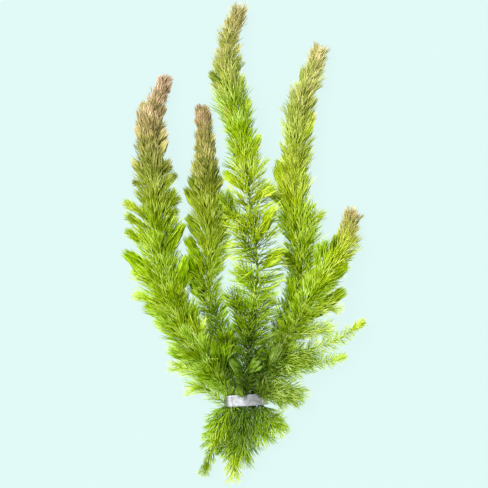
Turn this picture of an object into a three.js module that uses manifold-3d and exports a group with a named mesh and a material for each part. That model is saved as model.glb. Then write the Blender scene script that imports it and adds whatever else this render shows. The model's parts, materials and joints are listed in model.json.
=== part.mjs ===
// A bunch of hornwort, an aquarium plant, as it is sold: five long stems covered in whorls of narrow
// leaves, with their side shoots, held together near the cut ends by a folded strip of soft metal that
// sinks the bunch in a tank. The bunch lies on its side on z = 0. Units are millimetres. +Z is up, and +Y
// runs from the cut ends to the growing tips.
import * as THREE from "three";
import { mergeVertices } from "three/addons/utils/BufferGeometryUtils.js";
import Module from "manifold-3d";

const wasm = await Module();
wasm.setup();

// Driving dimensions
const CLEARANCE = 0.5; // air left between two pieces that meet
const STALK_RADIUS = 1.1; // a bare hornwort stem
const WHORL_SPACING = 13.5; // one drawn whorl stands for two or three real ones
const LEAF_RISE = 0.75; // how far closed leaves point forward, as a share of their reach
const OPEN_LEAF_RISE = 0.25; // the same where the leaves stand out flat from the stem
const MOST_RISE = 0.9; // leaf points stay below this share of the way to the next whorl
const CLOSED_FULLNESS = 0.7; // leaves of foliage this full point forward by all of LEAF_RISE
const OPEN_FULLNESS = 0.3; // foliage less full than this shows its bare stalk
const BARE_FROM = 0.6; // where its stalk is bare, as a share of the way to the next whorl
const ROOT_DEPTH = 0.8; // how far foliage fills the gap between two whorls, where it is quite full
const NOTCH_DEPTH = 0.3; // how far the notches between leaf points reach out, where it isn't full at all
const FORK_RADIUS = 2.4; // from the middle of a stem to the base of a side shoot that is a limb of its own
const SHOOT_LEAD = 0.4; // how far a side shoot first follows its stem, as a share of its own length
const STEM_RAYS = 5; // leaf points drawn round one whorl
const TIE_Y = -101.5; // where each stem has its station inside the strip

const STRIP = {
  centre: [1, -101], // where the strip is wrapped, in x and y
  width: 7.5, // along the stems
  outerWidth: 28.6, // across the bunch
  outerHeight: 12,
  thickness: 0.8,
  lapGap: 0.35,
  lap: 7, // how far the two ends pass each other underneath
  turn: 4, // degrees that the strip is skewed on the bunch
  bendSteps: 10,
};

// Each station of a stem: x, y and z of its axis, the reach of its leaves there, and how full the foliage
// is, from 0, where single leaves stand out from a bare stem, to 1, where they close into one brush. The
// first station is the cut end.
const STEMS = {
  stem_1: [
    [-24, -136, 6, 6, 0.5],
    [-18, -122, 7, 8.5, 0.5],
    [-12.5, -110, 7, 6, 0.6],
    [-9, TIE_Y, 7, 2.8, 0.7],
    [-14.5, -91, 8.5, 6, 0.7],
    [-25, -76.5, 11, 11, 0.7],
    [-38, -57, 14, 14, 0.7],
    [-49, -35, 15, 15, 0.7],
    [-55, -11.5, 15, 15, 0.7],
    [-57.5, 12.5, 15, 15, 0.7],
    [-59, 35, 14, 14, 0.7],
    [-60.5, 61, 11, 10.3, 0.75],
    [-59.5, 82, 9, 9, 0.75],
    [-55.5, 97.5, 7, 6, 0.8],
    [-51.5, 108.5, 5, 3.2, 0.8],
  ],
  stem_2: [
    [-12, -140.5, 6, 5.5, 0.5],
    [-9, -124, 7, 8.5, 0.5],
    [-6, -111, 5.5, 5.5, 0.6],
    [-4, TIE_Y, 4.4, 2.3, 0.7],
    [-6.5, -91, 6, 5, 0.6],
    [-11.5, -72, 9, 9.5, 0.6],
    [-16, -48, 11, 11.5, 0.5],
    [-20.5, -26.5, 12, 12, 0.5],
    [-21, -4, 13, 13.5, 0.6],
    [-22.5, 19, 13, 13, 0.7],
    [-24.5, 41.5, 11, 9.5, 0.75],
    [-25.5, 58, 9, 7, 0.75],
    [-27, 75.5, 7, 5.2, 0.8],
    [-29.5, 88, 5, 3, 0.8],
  ],
  stem_3: [
    [-3, -147, 8, 6, 0.5],
    [-1.5, -130, 9, 9, 0.5],
    [0, -112, 9, 6, 0.6],
    [0.5, TIE_Y, 9, 2.1, 0.7],
    [1.5, -89, 13, 5.5, 0.6],
    [3, -69, 20, 10, 0.5],
    [6, -44, 25, 14, 0.4],
    [8, -23.5, 27, 16.5, 0.2],
    [7.5, -4, 27, 17, 0.12],
    [4, 17, 25, 17, 0.12],
    [2.5, 38.5, 22, 14.5, 0.25],
    [-1, 61, 18, 9.5, 0.7],
    [-5, 80.5, 15, 8.7, 0.75],
    [-9.5, 99, 13, 10, 0.75],
    [-10.5, 113, 11, 8, 0.75],
    [-10, 129.5, 9, 6.8, 0.75],
    [-7, 143, 7, 5.2, 0.8],
    [-2.5, 154, 5, 3, 0.8],
  ],
  stem_4: [
    [12.5, -136, 6, 5.5, 0.5],
    [10, -123, 7, 8.5, 0.5],
    [7, -111, 5.5, 5.5, 0.6],
    [5.5, TIE_Y, 4.4, 2.4, 0.7],
    [11.5, -84.5, 7, 6.5, 0.6],
    [21, -65.5, 9, 9.5, 0.6],
    [29.5, -44, 10, 11, 0.6],
    [34, -23.5, 11, 11, 0.6],
    [35, -4, 12, 11.5, 0.6],
    [33.5, 15.5, 12, 11.5, 0.7],
    [32, 35, 11, 10.5, 0.75],
    [33, 54.5, 10, 9.5, 0.75],
    [34, 74, 9.5, 9, 0.75],
    [36, 91, 9, 9, 0.75],
    [40, 104, 8, 8, 0.75],
    [44.5, 117, 6.5, 5.6, 0.8],
    [48.5, 130, 5, 3, 0.8],
  ],
  stem_5: [
    [23.5, -126, 8, 6, 0.5],
    [18, -117, 8, 7.5, 0.5],
    [13, -109, 8, 5.5, 0.6],
    [9.5, TIE_Y, 7.4, 2.3, 0.7],
    [12.5, -87, 15.5, 5, 0.5],
    [19, -73, 22, 7, 0.4],
    [28.5, -58, 26, 8, 0.3],
    [37.5, -43, 27, 8.5, 0.4],
    [46.5, -30, 24, 10, 0.6],
    [55.5, -17, 18, 10.5, 0.7],
    [63.5, -5, 13, 9, 0.75],
    [68, 6, 9, 7, 0.8],
    [69, 15.5, 7, 4.8, 0.8],
    [69, 23.5, 5, 3, 0.8],
  ],
};

// The forms of side shoots: how full the foliage is, its reach at the fork, the middle and the tip as
// shares of its widest reach, the whorls drawn along it and the leaf points round each.
const FORMS = {
  bud: { fullness: 0.85, reach: [0.5, 1, 0.35], whorls: 2, rays: 3 },
  brush: { fullness: 0.85, reach: [0.5, 1, 0.35], whorls: 3, rays: 3 },
  tuft: { fullness: 0.6, reach: [0.5, 1, 0.75], whorls: 3, rays: 3 },
  sprig: { fullness: 0.35, reach: [0.9, 1, 0.6], whorls: 5, rays: 3 },
};

// Side shoots long enough to be limbs of their own: the share of the stem's length where each forks off,
// its tip, its widest reach and its form. A shoot that leaves its stem at once has a point that it bends
// towards.
const SHOOTS = {
  stem_1: [
    { at: 0.61, tip: [-79.5, 29, 17], reach: 4.2, form: "brush" },
    { at: 0.54, tip: [-78.5, 9, 21], reach: 4.4, form: "brush" },
    { at: 0.44, tip: [-75, -16, 18], reach: 4.4, form: "brush" },
    { at: 0.66, tip: [-44.5, 46, 17], reach: 4.4, form: "brush" },
    { at: 0.36, tip: [-43, -25.5, 34], reach: 5, form: "tuft" },
    { at: 0.27, tip: [-28.5, -47, 32], reach: 5.5, form: "tuft" },
    { at: 0.18, tip: [-52, -79, 7], reach: 4.5, form: "tuft", bend: [-36, -74, 10] },
    { at: 0.13, tip: [-38, -100, 5.5], reach: 4.2, form: "brush", bend: [-30, -84, 10] },
  ],
  stem_2: [
    { at: 0.66, tip: [-40.5, 36, 14], reach: 4.6, form: "brush" },
    { at: 0.42, tip: [-38, -20, 12], reach: 5, form: "brush" },
    { at: 0.27, tip: [-11.5, -55, 30], reach: 4.8, form: "tuft" },
  ],
  stem_3: [
    { at: 0.27, tip: [-15, -24, 36], reach: 5.5, form: "tuft" },
    { at: 0.17, tip: [-5, -101, 17], reach: 3.4, form: "brush", bend: [-5, -80, 27] },
    { at: 0.48, tip: [20, 26, 38], reach: 4.6, form: "tuft" },
  ],
  stem_4: [
    { at: 0.49, tip: [51, 24, 16], reach: 5.2, form: "tuft" },
    { at: 0.55, tip: [11, 40, 10], reach: 4.4, form: "brush" },
  ],
  stem_5: [
    { at: 0.5, tip: [66, -38, 15], reach: 5, form: "tuft" },
    { at: 0.36, tip: [78.5, -48.5, 10], reach: 3, form: "sprig", bend: [58, -68, 20] },
    { at: 0.28, tip: [67, -73.5, 7], reach: 3, form: "sprig", bend: [46, -80, 18] },
    { at: 0.3, tip: [46, -84, 8], reach: 5, form: "tuft", bend: [34, -72, 20] },
    { at: 0.2, tip: [41, -101, 5.5], reach: 4.4, form: "brush", bend: [32, -80, 18] },
    { at: 0.19, tip: [24.5, -101, 19], reach: 3.6, form: "brush", bend: [19, -86, 24] },
  ],
};

// Side shoots of the cut ends, below the strip. They point away from the growing tips.
const TAIL_SHOOTS = {
  stem_1: [{ at: 0.08, tip: [-27.5, -153, 4.5], reach: 3.2, form: "sprig" }],
  stem_3: [{ at: 0.06, tip: [-6, -154.5, 9], reach: 4.4, form: "tuft" }],
  stem_5: [{ at: 0.08, tip: [31, -127, 8], reach: 4.4, form: "tuft" }],
};

// Short side buds, which are one piece with their stem.
const BUDS = {
  stem_1: [
    { at: 0.8, tip: [-66.5, 94, 10], reach: 3.2, form: "bud" },
    { at: 0.43, tip: [-79, -2.5, 12], reach: 4, form: "bud" },
    { at: 0.57, tip: [-64, 27, 33], reach: 4, form: "bud" },
    { at: 0.5, tip: [-37.5, 18, 20], reach: 4, form: "bud" },
    { at: 0.39, tip: [-37, -6.5, 21], reach: 4.6, form: "bud" },
  ],
  stem_2: [
    { at: 0.5, tip: [-38.5, 7, 20], reach: 4.2, form: "bud" },
    { at: 0.57, tip: [-7.5, 27, 14], reach: 3.6, form: "bud" },
  ],
  stem_3: [
    { at: 0.78, tip: [-24, 112, 15], reach: 3.4, form: "bud" },
    { at: 0.72, tip: [5.5, 98, 15], reach: 3.2, form: "bud" },
    { at: 0.64, tip: [10.5, 73, 19], reach: 3.6, form: "bud" },
    { at: 0.18, tip: [-11, -73, 24], reach: 3.6, form: "bud" },
  ],
  stem_4: [
    { at: 0.82, tip: [38.5, 115, 10], reach: 3, form: "bud" },
    { at: 0.71, tip: [47, 86, 12], reach: 3.2, form: "bud" },
    { at: 0.57, tip: [20, 55, 13], reach: 3.4, form: "bud" },
    { at: 0.3, tip: [24.5, -22, 19], reach: 3.8, form: "bud" },
  ],
  stem_5: [
    { at: 0.74, tip: [58.5, 8, 17], reach: 3.2, form: "bud" },
    { at: 0.62, tip: [69, -12, 20], reach: 3.4, form: "bud" },
  ],
};

const COLOURS = {
  stem_1: 0x8a9a45,
  stem_2: 0x7c8b3f,
  stem_3: 0x86a834,
  stem_4: 0x9dba3c,
  stem_5: 0xa3bd45,
  weight_strip: 0xb4bab6,
};
const LEAF_FINISH = { roughness: 0.5, metalness: 0 };
const METAL_FINISH = { roughness: 0.45, metalness: 0.9 };

// A limb is a stem or a shoot: an axis with a reach and a fullness all along it.
function limb(axis, reaches, fullnesses) {
  const between = (values, t) => {
    const place = t * (values.length - 1);
    const low = Math.min(Math.floor(place), values.length - 2);
    return THREE.MathUtils.lerp(values[low], values[low + 1], place - low);
  };
  const station = (share) => {
    const t = axis.getUtoTmapping(share, 0);
    return {
      centre: axis.getPoint(t),
      along: axis.getTangent(t),
      reach: between(reaches, t),
      fullness: between(fullnesses, t),
    };
  };
  return { axis, length: axis.getLength(), station };
}

function stemLimb(stations) {
  const points = stations.map(([x, y, z]) => new THREE.Vector3(x, y, z));
  const axis = new THREE.CatmullRomCurve3(points, false, "centripetal");
  return limb(axis, stations.map((s) => s[3]), stations.map((s) => s[4]));
}

// A side shoot starts beside the stalk of its stem and bends away from it. `heading` is 1 towards the
// growing tips.
function shootLimb(stem, { at, tip, reach, form, bend }, heading, fork) {
  const { fullness, reach: shares } = FORMS[form];
  const end = new THREE.Vector3(...tip);
  const onStem = stem.axis.getPointAt(at);
  const alongStem = stem.axis.getTangentAt(at);
  const sideways = end.clone().sub(onStem).projectOnPlane(alongStem).normalize();
  const start = onStem.addScaledVector(sideways, fork * (FORK_RADIUS + reach * shares[0]));
  const lead = alongStem.multiplyScalar(SHOOT_LEAD * heading * start.distanceTo(end));
  const control = bend ? new THREE.Vector3(...bend) : start.clone().add(lead);
  const axis = new THREE.QuadraticBezierCurve3(start, control, end);
  return limb(axis, shares.map((share) => share * reach), [fullness, fullness]);
}

// What is nearest to a point on another limb: how far away it is and how much of the gap belongs to the
// asker.
function neighbourFrom(centre, reach, other) {
  const samples = 80;
  let nearest = other.station(0);
  for (let i = 1; i <= samples; i += 1) {
    const candidate = other.station(i / samples);
    if (candidate.centre.distanceTo(centre) < nearest.centre.distanceTo(centre)) {
      nearest = candidate;
    }
  }
  return {
    apart: nearest.centre.clone().sub(centre),
    portion: reach / (reach + nearest.reach),
  };
}

// A ring of points round a limb's axis. Foliage stops halfway to a neighbour's, and lies flat on the
// surface at z = 0.
function ringAt(shape, share, sides, radiusOf, neighbours = [], extra = 0) {
  const { centre, along, reach, fullness } = shape.station(share);
  const across = new THREE.Vector3(0, 0, 1).cross(along).normalize();
  const upwards = along.clone().cross(across);
  const beside = neighbours.map((other) => neighbourFrom(centre, reach, other));
  return Array.from({ length: sides }, (_, i) => {
    const angle = (2 * Math.PI * (i + 0.5)) / sides;
    const outwards = across.clone().multiplyScalar(Math.cos(angle));
    outwards.addScaledVector(upwards, Math.sin(angle));
    let radius = radiusOf(i, reach, fullness);
    for (const { apart, portion } of beside) {
      const facing = outwards.dot(apart) / apart.length();
      if (facing > 0) {
        radius = Math.min(radius, (apart.length() * portion - CLEARANCE) / facing);
      }
    }
    if (neighbours.length > 0 && outwards.z < 0) {
      radius = Math.min(radius, centre.z / -outwards.z);
    }
    return centre.clone().addScaledVector(outwards, radius + extra);
  });
}

// Joins rings of points, each with the same number of sides, into one closed solid.
function skin(rings) {
  const sides = rings[0].length;
  const middleOf = (ring) =>
    ring.reduce((sum, point) => sum.add(point), new THREE.Vector3()).divideScalar(sides);
  const points = [...rings.flat(), middleOf(rings[0]), middleOf(rings.at(-1))];
  const firstCap = rings.length * sides;
  const faces = [];
  for (let i = 0; i < sides; i += 1) {
    const next = (i + 1) % sides;
    for (let ring = 0; ring < rings.length - 1; ring += 1) {
      const low = ring * sides;
      const high = low + sides;
      faces.push(low + i, low + next, high + next, low + i, high + next, high + i);
    }
    const last = firstCap - sides;
    faces.push(firstCap, next, i, firstCap + 1, last + i, last + next);
  }
  const mesh = new wasm.Mesh({
    numProp: 3,
    vertProperties: new Float32Array(points.flatMap((point) => point.toArray())),
    triVerts: new Uint32Array(faces),
  });
  return new wasm.Manifold(mesh);
}

// The foliage with its stalk: whorl above whorl, each a ring of leaf points that lean towards the growing
// tip, or towards the cut end up to the share `turnsAt` of the limb.
function foliage(shape, { rays, whorls, stalk, neighbours, turnsAt = 0, extra = 0 }) {
  const sides = rays * 2;
  const rings = [];
  const addRing = (share, radiusOf) => {
    const radius = (i, reach, fullness) => Math.max(stalk, radiusOf(i, reach, fullness));
    rings.push(ringAt(shape, share, sides, radius, neighbours, extra));
  };
  const rootRadius = (_, reach, fullness) => reach * fullness * ROOT_DEPTH;
  for (let whorl = 0; whorl < whorls; whorl += 1) {
    const low = whorl / whorls;
    const high = (whorl + 1) / whorls;
    const { reach, fullness } = shape.station((low + high) / 2);
    const closed = Math.min(fullness / CLOSED_FULLNESS, 1);
    const rise = THREE.MathUtils.lerp(OPEN_LEAF_RISE, LEAF_RISE, closed);
    const lift = Math.min((reach * rise) / shape.length, (high - low) * MOST_RISE);
    const leafPoints = high > turnsAt ? low + lift : high - lift;
    const tipRadius = (i, tipReach, tipFullness) =>
      i % 2 === whorl % 2 ? tipReach : tipReach * THREE.MathUtils.lerp(NOTCH_DEPTH, 1, tipFullness);
    addRing(low, rootRadius);
    addRing(leafPoints, tipRadius);
    if (fullness < OPEN_FULLNESS) {
      addRing(low + (high - low) * BARE_FROM, () => stalk);
    }
  }
  addRing(1, rootRadius);
  return skin(rings);
}

// The room that a side shoot takes in the foliage round it: a plain tube, a little wider and longer than
// the shoot.
function roomOf(shape) {
  const sides = 6;
  const radius = (_, reach) => reach / Math.cos(Math.PI / sides) + CLEARANCE;
  const rings = [0, 0.25, 0.5, 0.75, 1].map((share) => ringAt(shape, share, sides, radius));
  rings[0].forEach((point) => point.addScaledVector(shape.station(0).along, -CLEARANCE));
  rings.at(-1).forEach((point) => point.addScaledVector(shape.station(1).along, CLEARANCE));
  return skin(rings);
}

// The strip's section: a band wrapped once round the bunch, flat below, whose ends pass each other
// underneath.
function stripSection(extra) {
  const { outerWidth, outerHeight, thickness, lapGap, lap, bendSteps } = STRIP;
  const half = thickness / 2;
  const innerLap = half + thickness + lapGap;
  const top = outerHeight - half;
  const line = [[-lap / 2, innerLap]];
  const bendRound = (centreX, low, firstAngle) => {
    const radius = (top - low) / 2;
    for (let i = 0; i <= bendSteps; i += 1) {
      const angle = firstAngle + (Math.PI * i) / bendSteps;
      line.push([centreX + radius * Math.cos(angle), low + radius + radius * Math.sin(angle)]);
    }
  };
  bendRound(outerWidth / 2 - half - (top - innerLap) / 2, innerLap, -Math.PI / 2);
  bendRound(half - outerWidth / 2 + (top - half) / 2, half, Math.PI / 2);
  line.push([lap / 2, half]);
  const wall = half + extra;
  const sideOf = (sign) =>
    line.map(([x, z], i) => {
      const before = line[Math.max(i - 1, 0)];
      const after = line[Math.min(i + 1, line.length - 1)];
      const run = new THREE.Vector2(after[0] - before[0], after[1] - before[1]).normalize();
      return new THREE.Vector2(x - sign * wall * run.y, z + sign * wall * run.x);
    });
  return new THREE.Shape([...sideOf(-1), ...sideOf(1).reverse()]);
}

function stripGeometry(extra = 0) {
  const depth = STRIP.width + 2 * extra;
  const geometry = new THREE.ExtrudeGeometry(stripSection(extra), { depth, bevelEnabled: false });
  geometry.translate(0, 0, -depth / 2);
  geometry.rotateX(Math.PI / 2);
  geometry.rotateZ(THREE.MathUtils.degToRad(STRIP.turn));
  geometry.translate(...STRIP.centre, 0);
  return geometry;
}

function solidOf(geometry) {
  const samePoint = 1e-4;
  const bare = geometry.clone();
  bare.deleteAttribute("normal");
  bare.deleteAttribute("uv");
  const merged = mergeVertices(bare, samePoint);
  const mesh = new wasm.Mesh({
    numProp: 3,
    vertProperties: merged.attributes.position.array,
    triVerts: new Uint32Array(merged.index.array),
  });
  return new wasm.Manifold(mesh);
}

function geometryOf(solid) {
  const { numProp, numVert, vertProperties, triVerts } = solid.getMesh();
  const positions = new Float32Array(numVert * 3);
  for (let i = 0; i < numVert; i += 1) {
    positions.set(vertProperties.subarray(i * numProp, i * numProp + 3), i * 3);
  }
  const geometry = new THREE.BufferGeometry();
  geometry.setAttribute("position", new THREE.BufferAttribute(positions, 3));
  geometry.setIndex(new THREE.BufferAttribute(new Uint32Array(triVerts), 1));
  geometry.computeVertexNormals();
  return geometry;
}

// Cuts a piece back from what is already in place and keeps its main body.
function cutBack(solid, others) {
  const free = others.reduce((rest, other) => rest.subtract(other), solid);
  return free.decompose().sort((a, b) => b.volume() - a.volume())[0];
}

const stemEntries = Object.entries(STEMS).map(([name, stations]) => [name, stemLimb(stations)]);
const stems = Object.fromEntries(stemEntries);
const stripRoom = solidOf(stripGeometry(CLEARANCE));
const aboveFloor = (solid) => solid.trimByPlane([0, 0, 1], 0);

function shootSolid(shape, { form }, extra = 0) {
  const { rays, whorls } = FORMS[form];
  return foliage(shape, { rays, whorls, stalk: STALK_RADIUS / 2, neighbours: [], extra });
}

function budSolids(name, extra = 0) {
  return BUDS[name].map((bud) => shootSolid(shootLimb(stems[name], bud, 1, 0), bud, extra));
}

// A stem's foliage joined with its buds.
function stemSolid(name) {
  const stem = stems[name];
  const facts = {
    rays: STEM_RAYS,
    whorls: Math.round(stem.length / WHORL_SPACING),
    stalk: STALK_RADIUS,
    neighbours: Object.values(stems).filter((other) => other !== stem),
    turnsAt: STEMS[name].findIndex((station) => station[1] === TIE_Y) / (STEMS[name].length - 1),
  };
  return budSolids(name).reduce((joined, bud) => joined.add(aboveFloor(bud)), foliage(stem, facts));
}

// Side shoots first: each keeps clear of the strip and the shoots before it.
const shoots = [];
for (const [name, stem] of Object.entries(stems)) {
  const above = SHOOTS[name].map((facts) => ({ facts, heading: 1 }));
  const below = (TAIL_SHOOTS[name] ?? []).map((facts) => ({ facts, heading: -1 }));
  [...above, ...below].forEach(({ facts, heading }, i) => {
    const shape = shootLimb(stem, facts, heading, 1);
    const before = [stripRoom, ...shoots.map((shoot) => shoot.room)];
    const solid = cutBack(aboveFloor(shootSolid(shape, facts)), before);
    shoots.push({ name: `${name}_shoot_${i + 1}`, stem: name, solid, room: roomOf(shape) });
  });
}

// Then the stems, with their buds, whose foliage makes room for the shoots but whose stalks stay whole.
const pieces = [];
const taken = [stripRoom, ...shoots.map((shoot) => shoot.room)];
for (const name of Object.keys(stems)) {
  const solid = cutBack(stemSolid(name), taken);
  taken.push(...budSolids(name, CLEARANCE));
  pieces.push({ name, stem: name, solid });
}

const hornwort = new THREE.Group();

function addPiece(name, geometry, color, finish) {
  const material = new THREE.MeshStandardMaterial({ color, flatShading: true, ...finish });
  const mesh = new THREE.Mesh(geometry, material);
  mesh.name = name;
  hornwort.add(mesh);
}

for (const { name, stem, solid } of [...pieces, ...shoots]) {
  addPiece(name, geometryOf(solid), COLOURS[stem], LEAF_FINISH);
}
addPiece("weight_strip", stripGeometry(), COLOURS.weight_strip, METAL_FINISH);

// The origin is on the surface, under the middle of the bunch.
const box = new THREE.Box3().setFromObject(hornwort);
const middle = box.getCenter(new THREE.Vector3());
hornwort.position.set(-middle.x, -middle.y, -box.min.z);

export default hornwort;
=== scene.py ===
# %% [markdown]
# A bunch of hornwort, lying down
#
# Hornwort is a water plant without roots. Every stem is a thin stalk with a ring of leaves, a whorl, every
# few millimetres, and each leaf forks into stiff threads. Shops tie about five cut stems with a strip of soft
# metal. This lesson grows the leaves on their stems with Geometry Nodes, and wraps the strip round the cut
# ends.

# %% Load the frame
import json
import math
import random
from collections import namedtuple

import bmesh
import bpy
import numpy as np
from mathutils import Matrix, Vector, noise

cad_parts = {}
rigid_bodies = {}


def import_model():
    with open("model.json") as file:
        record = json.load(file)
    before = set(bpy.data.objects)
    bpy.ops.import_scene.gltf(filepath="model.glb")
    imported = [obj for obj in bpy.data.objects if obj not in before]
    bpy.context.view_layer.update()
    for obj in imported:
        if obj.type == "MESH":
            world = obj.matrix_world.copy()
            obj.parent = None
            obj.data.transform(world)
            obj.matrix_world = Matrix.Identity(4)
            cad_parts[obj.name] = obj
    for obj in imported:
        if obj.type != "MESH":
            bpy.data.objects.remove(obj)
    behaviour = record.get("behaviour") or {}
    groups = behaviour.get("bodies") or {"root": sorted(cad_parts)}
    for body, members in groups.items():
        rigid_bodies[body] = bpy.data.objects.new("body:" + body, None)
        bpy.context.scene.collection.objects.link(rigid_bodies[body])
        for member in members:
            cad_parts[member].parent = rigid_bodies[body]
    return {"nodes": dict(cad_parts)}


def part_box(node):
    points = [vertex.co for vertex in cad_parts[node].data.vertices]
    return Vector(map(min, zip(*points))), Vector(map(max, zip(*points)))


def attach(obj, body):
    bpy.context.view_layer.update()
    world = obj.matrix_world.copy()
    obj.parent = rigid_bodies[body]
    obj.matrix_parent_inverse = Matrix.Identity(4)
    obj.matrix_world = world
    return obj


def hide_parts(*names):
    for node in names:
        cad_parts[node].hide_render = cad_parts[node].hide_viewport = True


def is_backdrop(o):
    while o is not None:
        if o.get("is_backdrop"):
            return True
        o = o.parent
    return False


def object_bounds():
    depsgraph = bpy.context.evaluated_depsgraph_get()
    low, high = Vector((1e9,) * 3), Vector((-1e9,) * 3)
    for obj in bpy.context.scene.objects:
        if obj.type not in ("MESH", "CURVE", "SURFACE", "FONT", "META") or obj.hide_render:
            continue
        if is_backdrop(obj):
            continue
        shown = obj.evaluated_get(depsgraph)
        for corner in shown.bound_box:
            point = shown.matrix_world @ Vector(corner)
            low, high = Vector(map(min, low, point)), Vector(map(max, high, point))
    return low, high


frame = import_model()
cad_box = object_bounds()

MM = 0.001
print("pieces in the frame:", len(frame["nodes"]))

# %% [markdown]
# Where things are
#
# The routes of the stems are written in millimetres, from the point that the bunch was drawn round. The
# strip's middle is known in that drawing and in the frame, so the difference between the two moves every
# route to its place.

# %% Find the drawing's zero point
STRIP_CENTRE = np.array([1.0, -101.0])  # the strip's middle in the drawing, in mm
strip_low, strip_high = (np.array(corner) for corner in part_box("weight_strip"))
drawing_zero = np.append((strip_low + strip_high)[:2] / 2 - STRIP_CENTRE * MM, 0)
print("drawing zero, mm:", (drawing_zero / MM).round(2))

# %% [markdown]
# Camera, floor and light
#
# The bunch lies on a pale surface and is seen from straight above, through a long lens, so that high and low
# leaves are drawn at almost the same scale. The light is soft: a part of it comes from everywhere, and the
# rest from one wide lamp at the upper left, so that upper leaves shade the lower ones. A sun lamp lights the
# whole floor evenly, where an area lamp would leave a spot.

# %% Make the camera
VIEW_WIDTH = 317.2  # what the picture shows from side to side, in mm
LENS = 200.0  # in mm: a long lens
VIEW_CENTRE = np.array([-0.33, 0.0, 0.0])  # in the drawing, in mm


def put_in_scene(name, data):
    """A new object in the scene, from its mesh, its lens or its lamp."""
    thing = bpy.data.objects.new(name, data)
    bpy.context.scene.collection.objects.link(thing)
    return thing


camera_data = bpy.data.cameras.new("camera")
camera_data.lens = LENS
camera_height = VIEW_WIDTH * LENS / camera_data.sensor_width
camera = put_in_scene("camera", camera_data)
camera.location = drawing_zero + (VIEW_CENTRE + (0, 0, camera_height)) * MM
bpy.context.scene.camera = camera
print("camera height, mm:", round(camera_height))


# %% Make the floor
def linear(red, green, blue):
    """A screen colour, from 0 to 255, as the linear light that shaders work with, by the sRGB formula."""
    shares = [value / 255 for value in (red, green, blue)]
    return (*[s / 12.92 if s <= 0.04045 else ((s + 0.055) / 1.055) ** 2.4 for s in shares], 1.0)


def new_material(name):
    """A material, with its node tree and the shader of its surface."""
    material = bpy.data.materials.new(name)
    material.use_nodes = True
    return material, material.node_tree, material.node_tree.nodes["Principled BSDF"]


FLOOR_LIGHT = linear(225, 250, 247)  # how the lit floor looks
FLOOR_GLOW = 0.95  # the share of that which shadows can't take away
LIGHT = 1.6  # how much light falls on the floor, where 1 shows a white sheet as white
FLOOR_COLOUR = [value * (1 - FLOOR_GLOW) / LIGHT for value in FLOOR_LIGHT[:3]]
FLOOR_HALF = 2.0  # half of its width, in m

floor_material, _, surface = new_material("pale_floor")
surface.inputs["Base Color"].default_value = (*FLOOR_COLOUR, 1)
surface.inputs["Roughness"].default_value = 0.9
surface.inputs["Specular IOR Level"].default_value = 0.0
surface.inputs["Emission Color"].default_value = FLOOR_LIGHT
surface.inputs["Emission Strength"].default_value = FLOOR_GLOW

floor_mesh = bpy.data.meshes.new("floor")
corners = [(-1, -1), (1, -1), (1, 1), (-1, 1)]
floor_mesh.from_pydata([(x * FLOOR_HALF, y * FLOOR_HALF, 0) for x, y in corners], [], [(0, 1, 2, 3)])
floor_mesh.materials.append(floor_material)
floor = put_in_scene("floor", floor_mesh)
floor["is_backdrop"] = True
print("floor width, m:", 2 * FLOOR_HALF)

# %% Make the light
SUN_SHARE = 0.62  # how much of the light comes from the lamp
SUN_FROM = Vector((-0.6, 0.45, 1.2)).normalized()  # towards the lamp, at the upper left
SUN_SPREAD = math.radians(35)  # the wider the lamp looks, the softer its shadows are

world = bpy.data.worlds.new("studio")
world.use_nodes = True
sky = world.node_tree.nodes["Background"].inputs
sky["Color"].default_value = (1, 1, 1, 1)
sky["Strength"].default_value = LIGHT * (1 - SUN_SHARE)
bpy.context.scene.world = world

sun_data = bpy.data.lights.new("sun", "SUN")
sun_data.energy = LIGHT * SUN_SHARE * math.pi / SUN_FROM.z
sun_data.angle = SUN_SPREAD
sun = put_in_scene("sun", sun_data)
sun.rotation_euler = (-SUN_FROM).to_track_quat("-Z", "Y").to_euler()
bpy.context.scene.view_settings.view_transform = "Standard"  # colours are shown as they are mixed
print("sun strength:", round(sun_data.energy, 2))

# %% [markdown]
# One leaf
#
# A hornwort leaf is a stiff thread that forks in two, and each half forks again. A flat card with a leaf
# painted on it would be quicker, but it has no thickness, so each thread is a thin three-sided needle that
# ends in a point. A leaf is drawn once, 1 unit long, along X, and curves towards +Z, which will be the side
# of the growing tip. A few different leaves are enough, because each copy gets its own length, turn and lean.
# Young leaves are still closed: such a leaf is a small flat fan of needles that lie side by side. Every
# needle has its own tint.

# %% Draw threads
MIDDLE_TINT = 0.5  # a tint is how pale something is, from 0 to 1


def empty_leaf():
    """A mesh whose points know how far along the leaf they are, and the tint of their thread."""
    mesh = bmesh.new()
    return mesh, [mesh.verts.layers.float.new(label) for label in ("leaf_share", "thread_tint")]


def add_thread(mesh, layers, points, radii, tint):
    """A three-sided needle through the points. It ends in a point where its radius is zero."""
    rings = []
    for point, radius in zip(points, radii):
        ring = []
        for corner in range(3 if radius > 0 else 1):
            angle = math.tau * corner / 3 + math.pi / 2
            offset = Vector((0, radius * math.cos(angle), radius * math.sin(angle)))
            vertex = mesh.verts.new(point + offset)
            vertex[layers[0]] = point.x
            vertex[layers[1]] = tint
            ring.append(vertex)
        rings.append(ring)
    if len(rings[0]) == 3:
        mesh.faces.new(rings[0][::-1])
    for low, high in zip(rings, rings[1:]):
        for corner in range(3):
            side = [low[corner % len(low)], low[(corner + 1) % 3 % len(low)]]
            side += [high[(corner + 1) % 3 % len(high)], high[corner % len(high)]]
            mesh.faces.new(dict.fromkeys(side))


test_leaf, test_layers = empty_leaf()
add_thread(test_leaf, test_layers, [Vector((0, 0, 0)), Vector((1, 0, 0))], [1, 0], MIDDLE_TINT)
print("faces of a pointed thread:", len(test_leaf.faces))
test_leaf.free()

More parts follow.
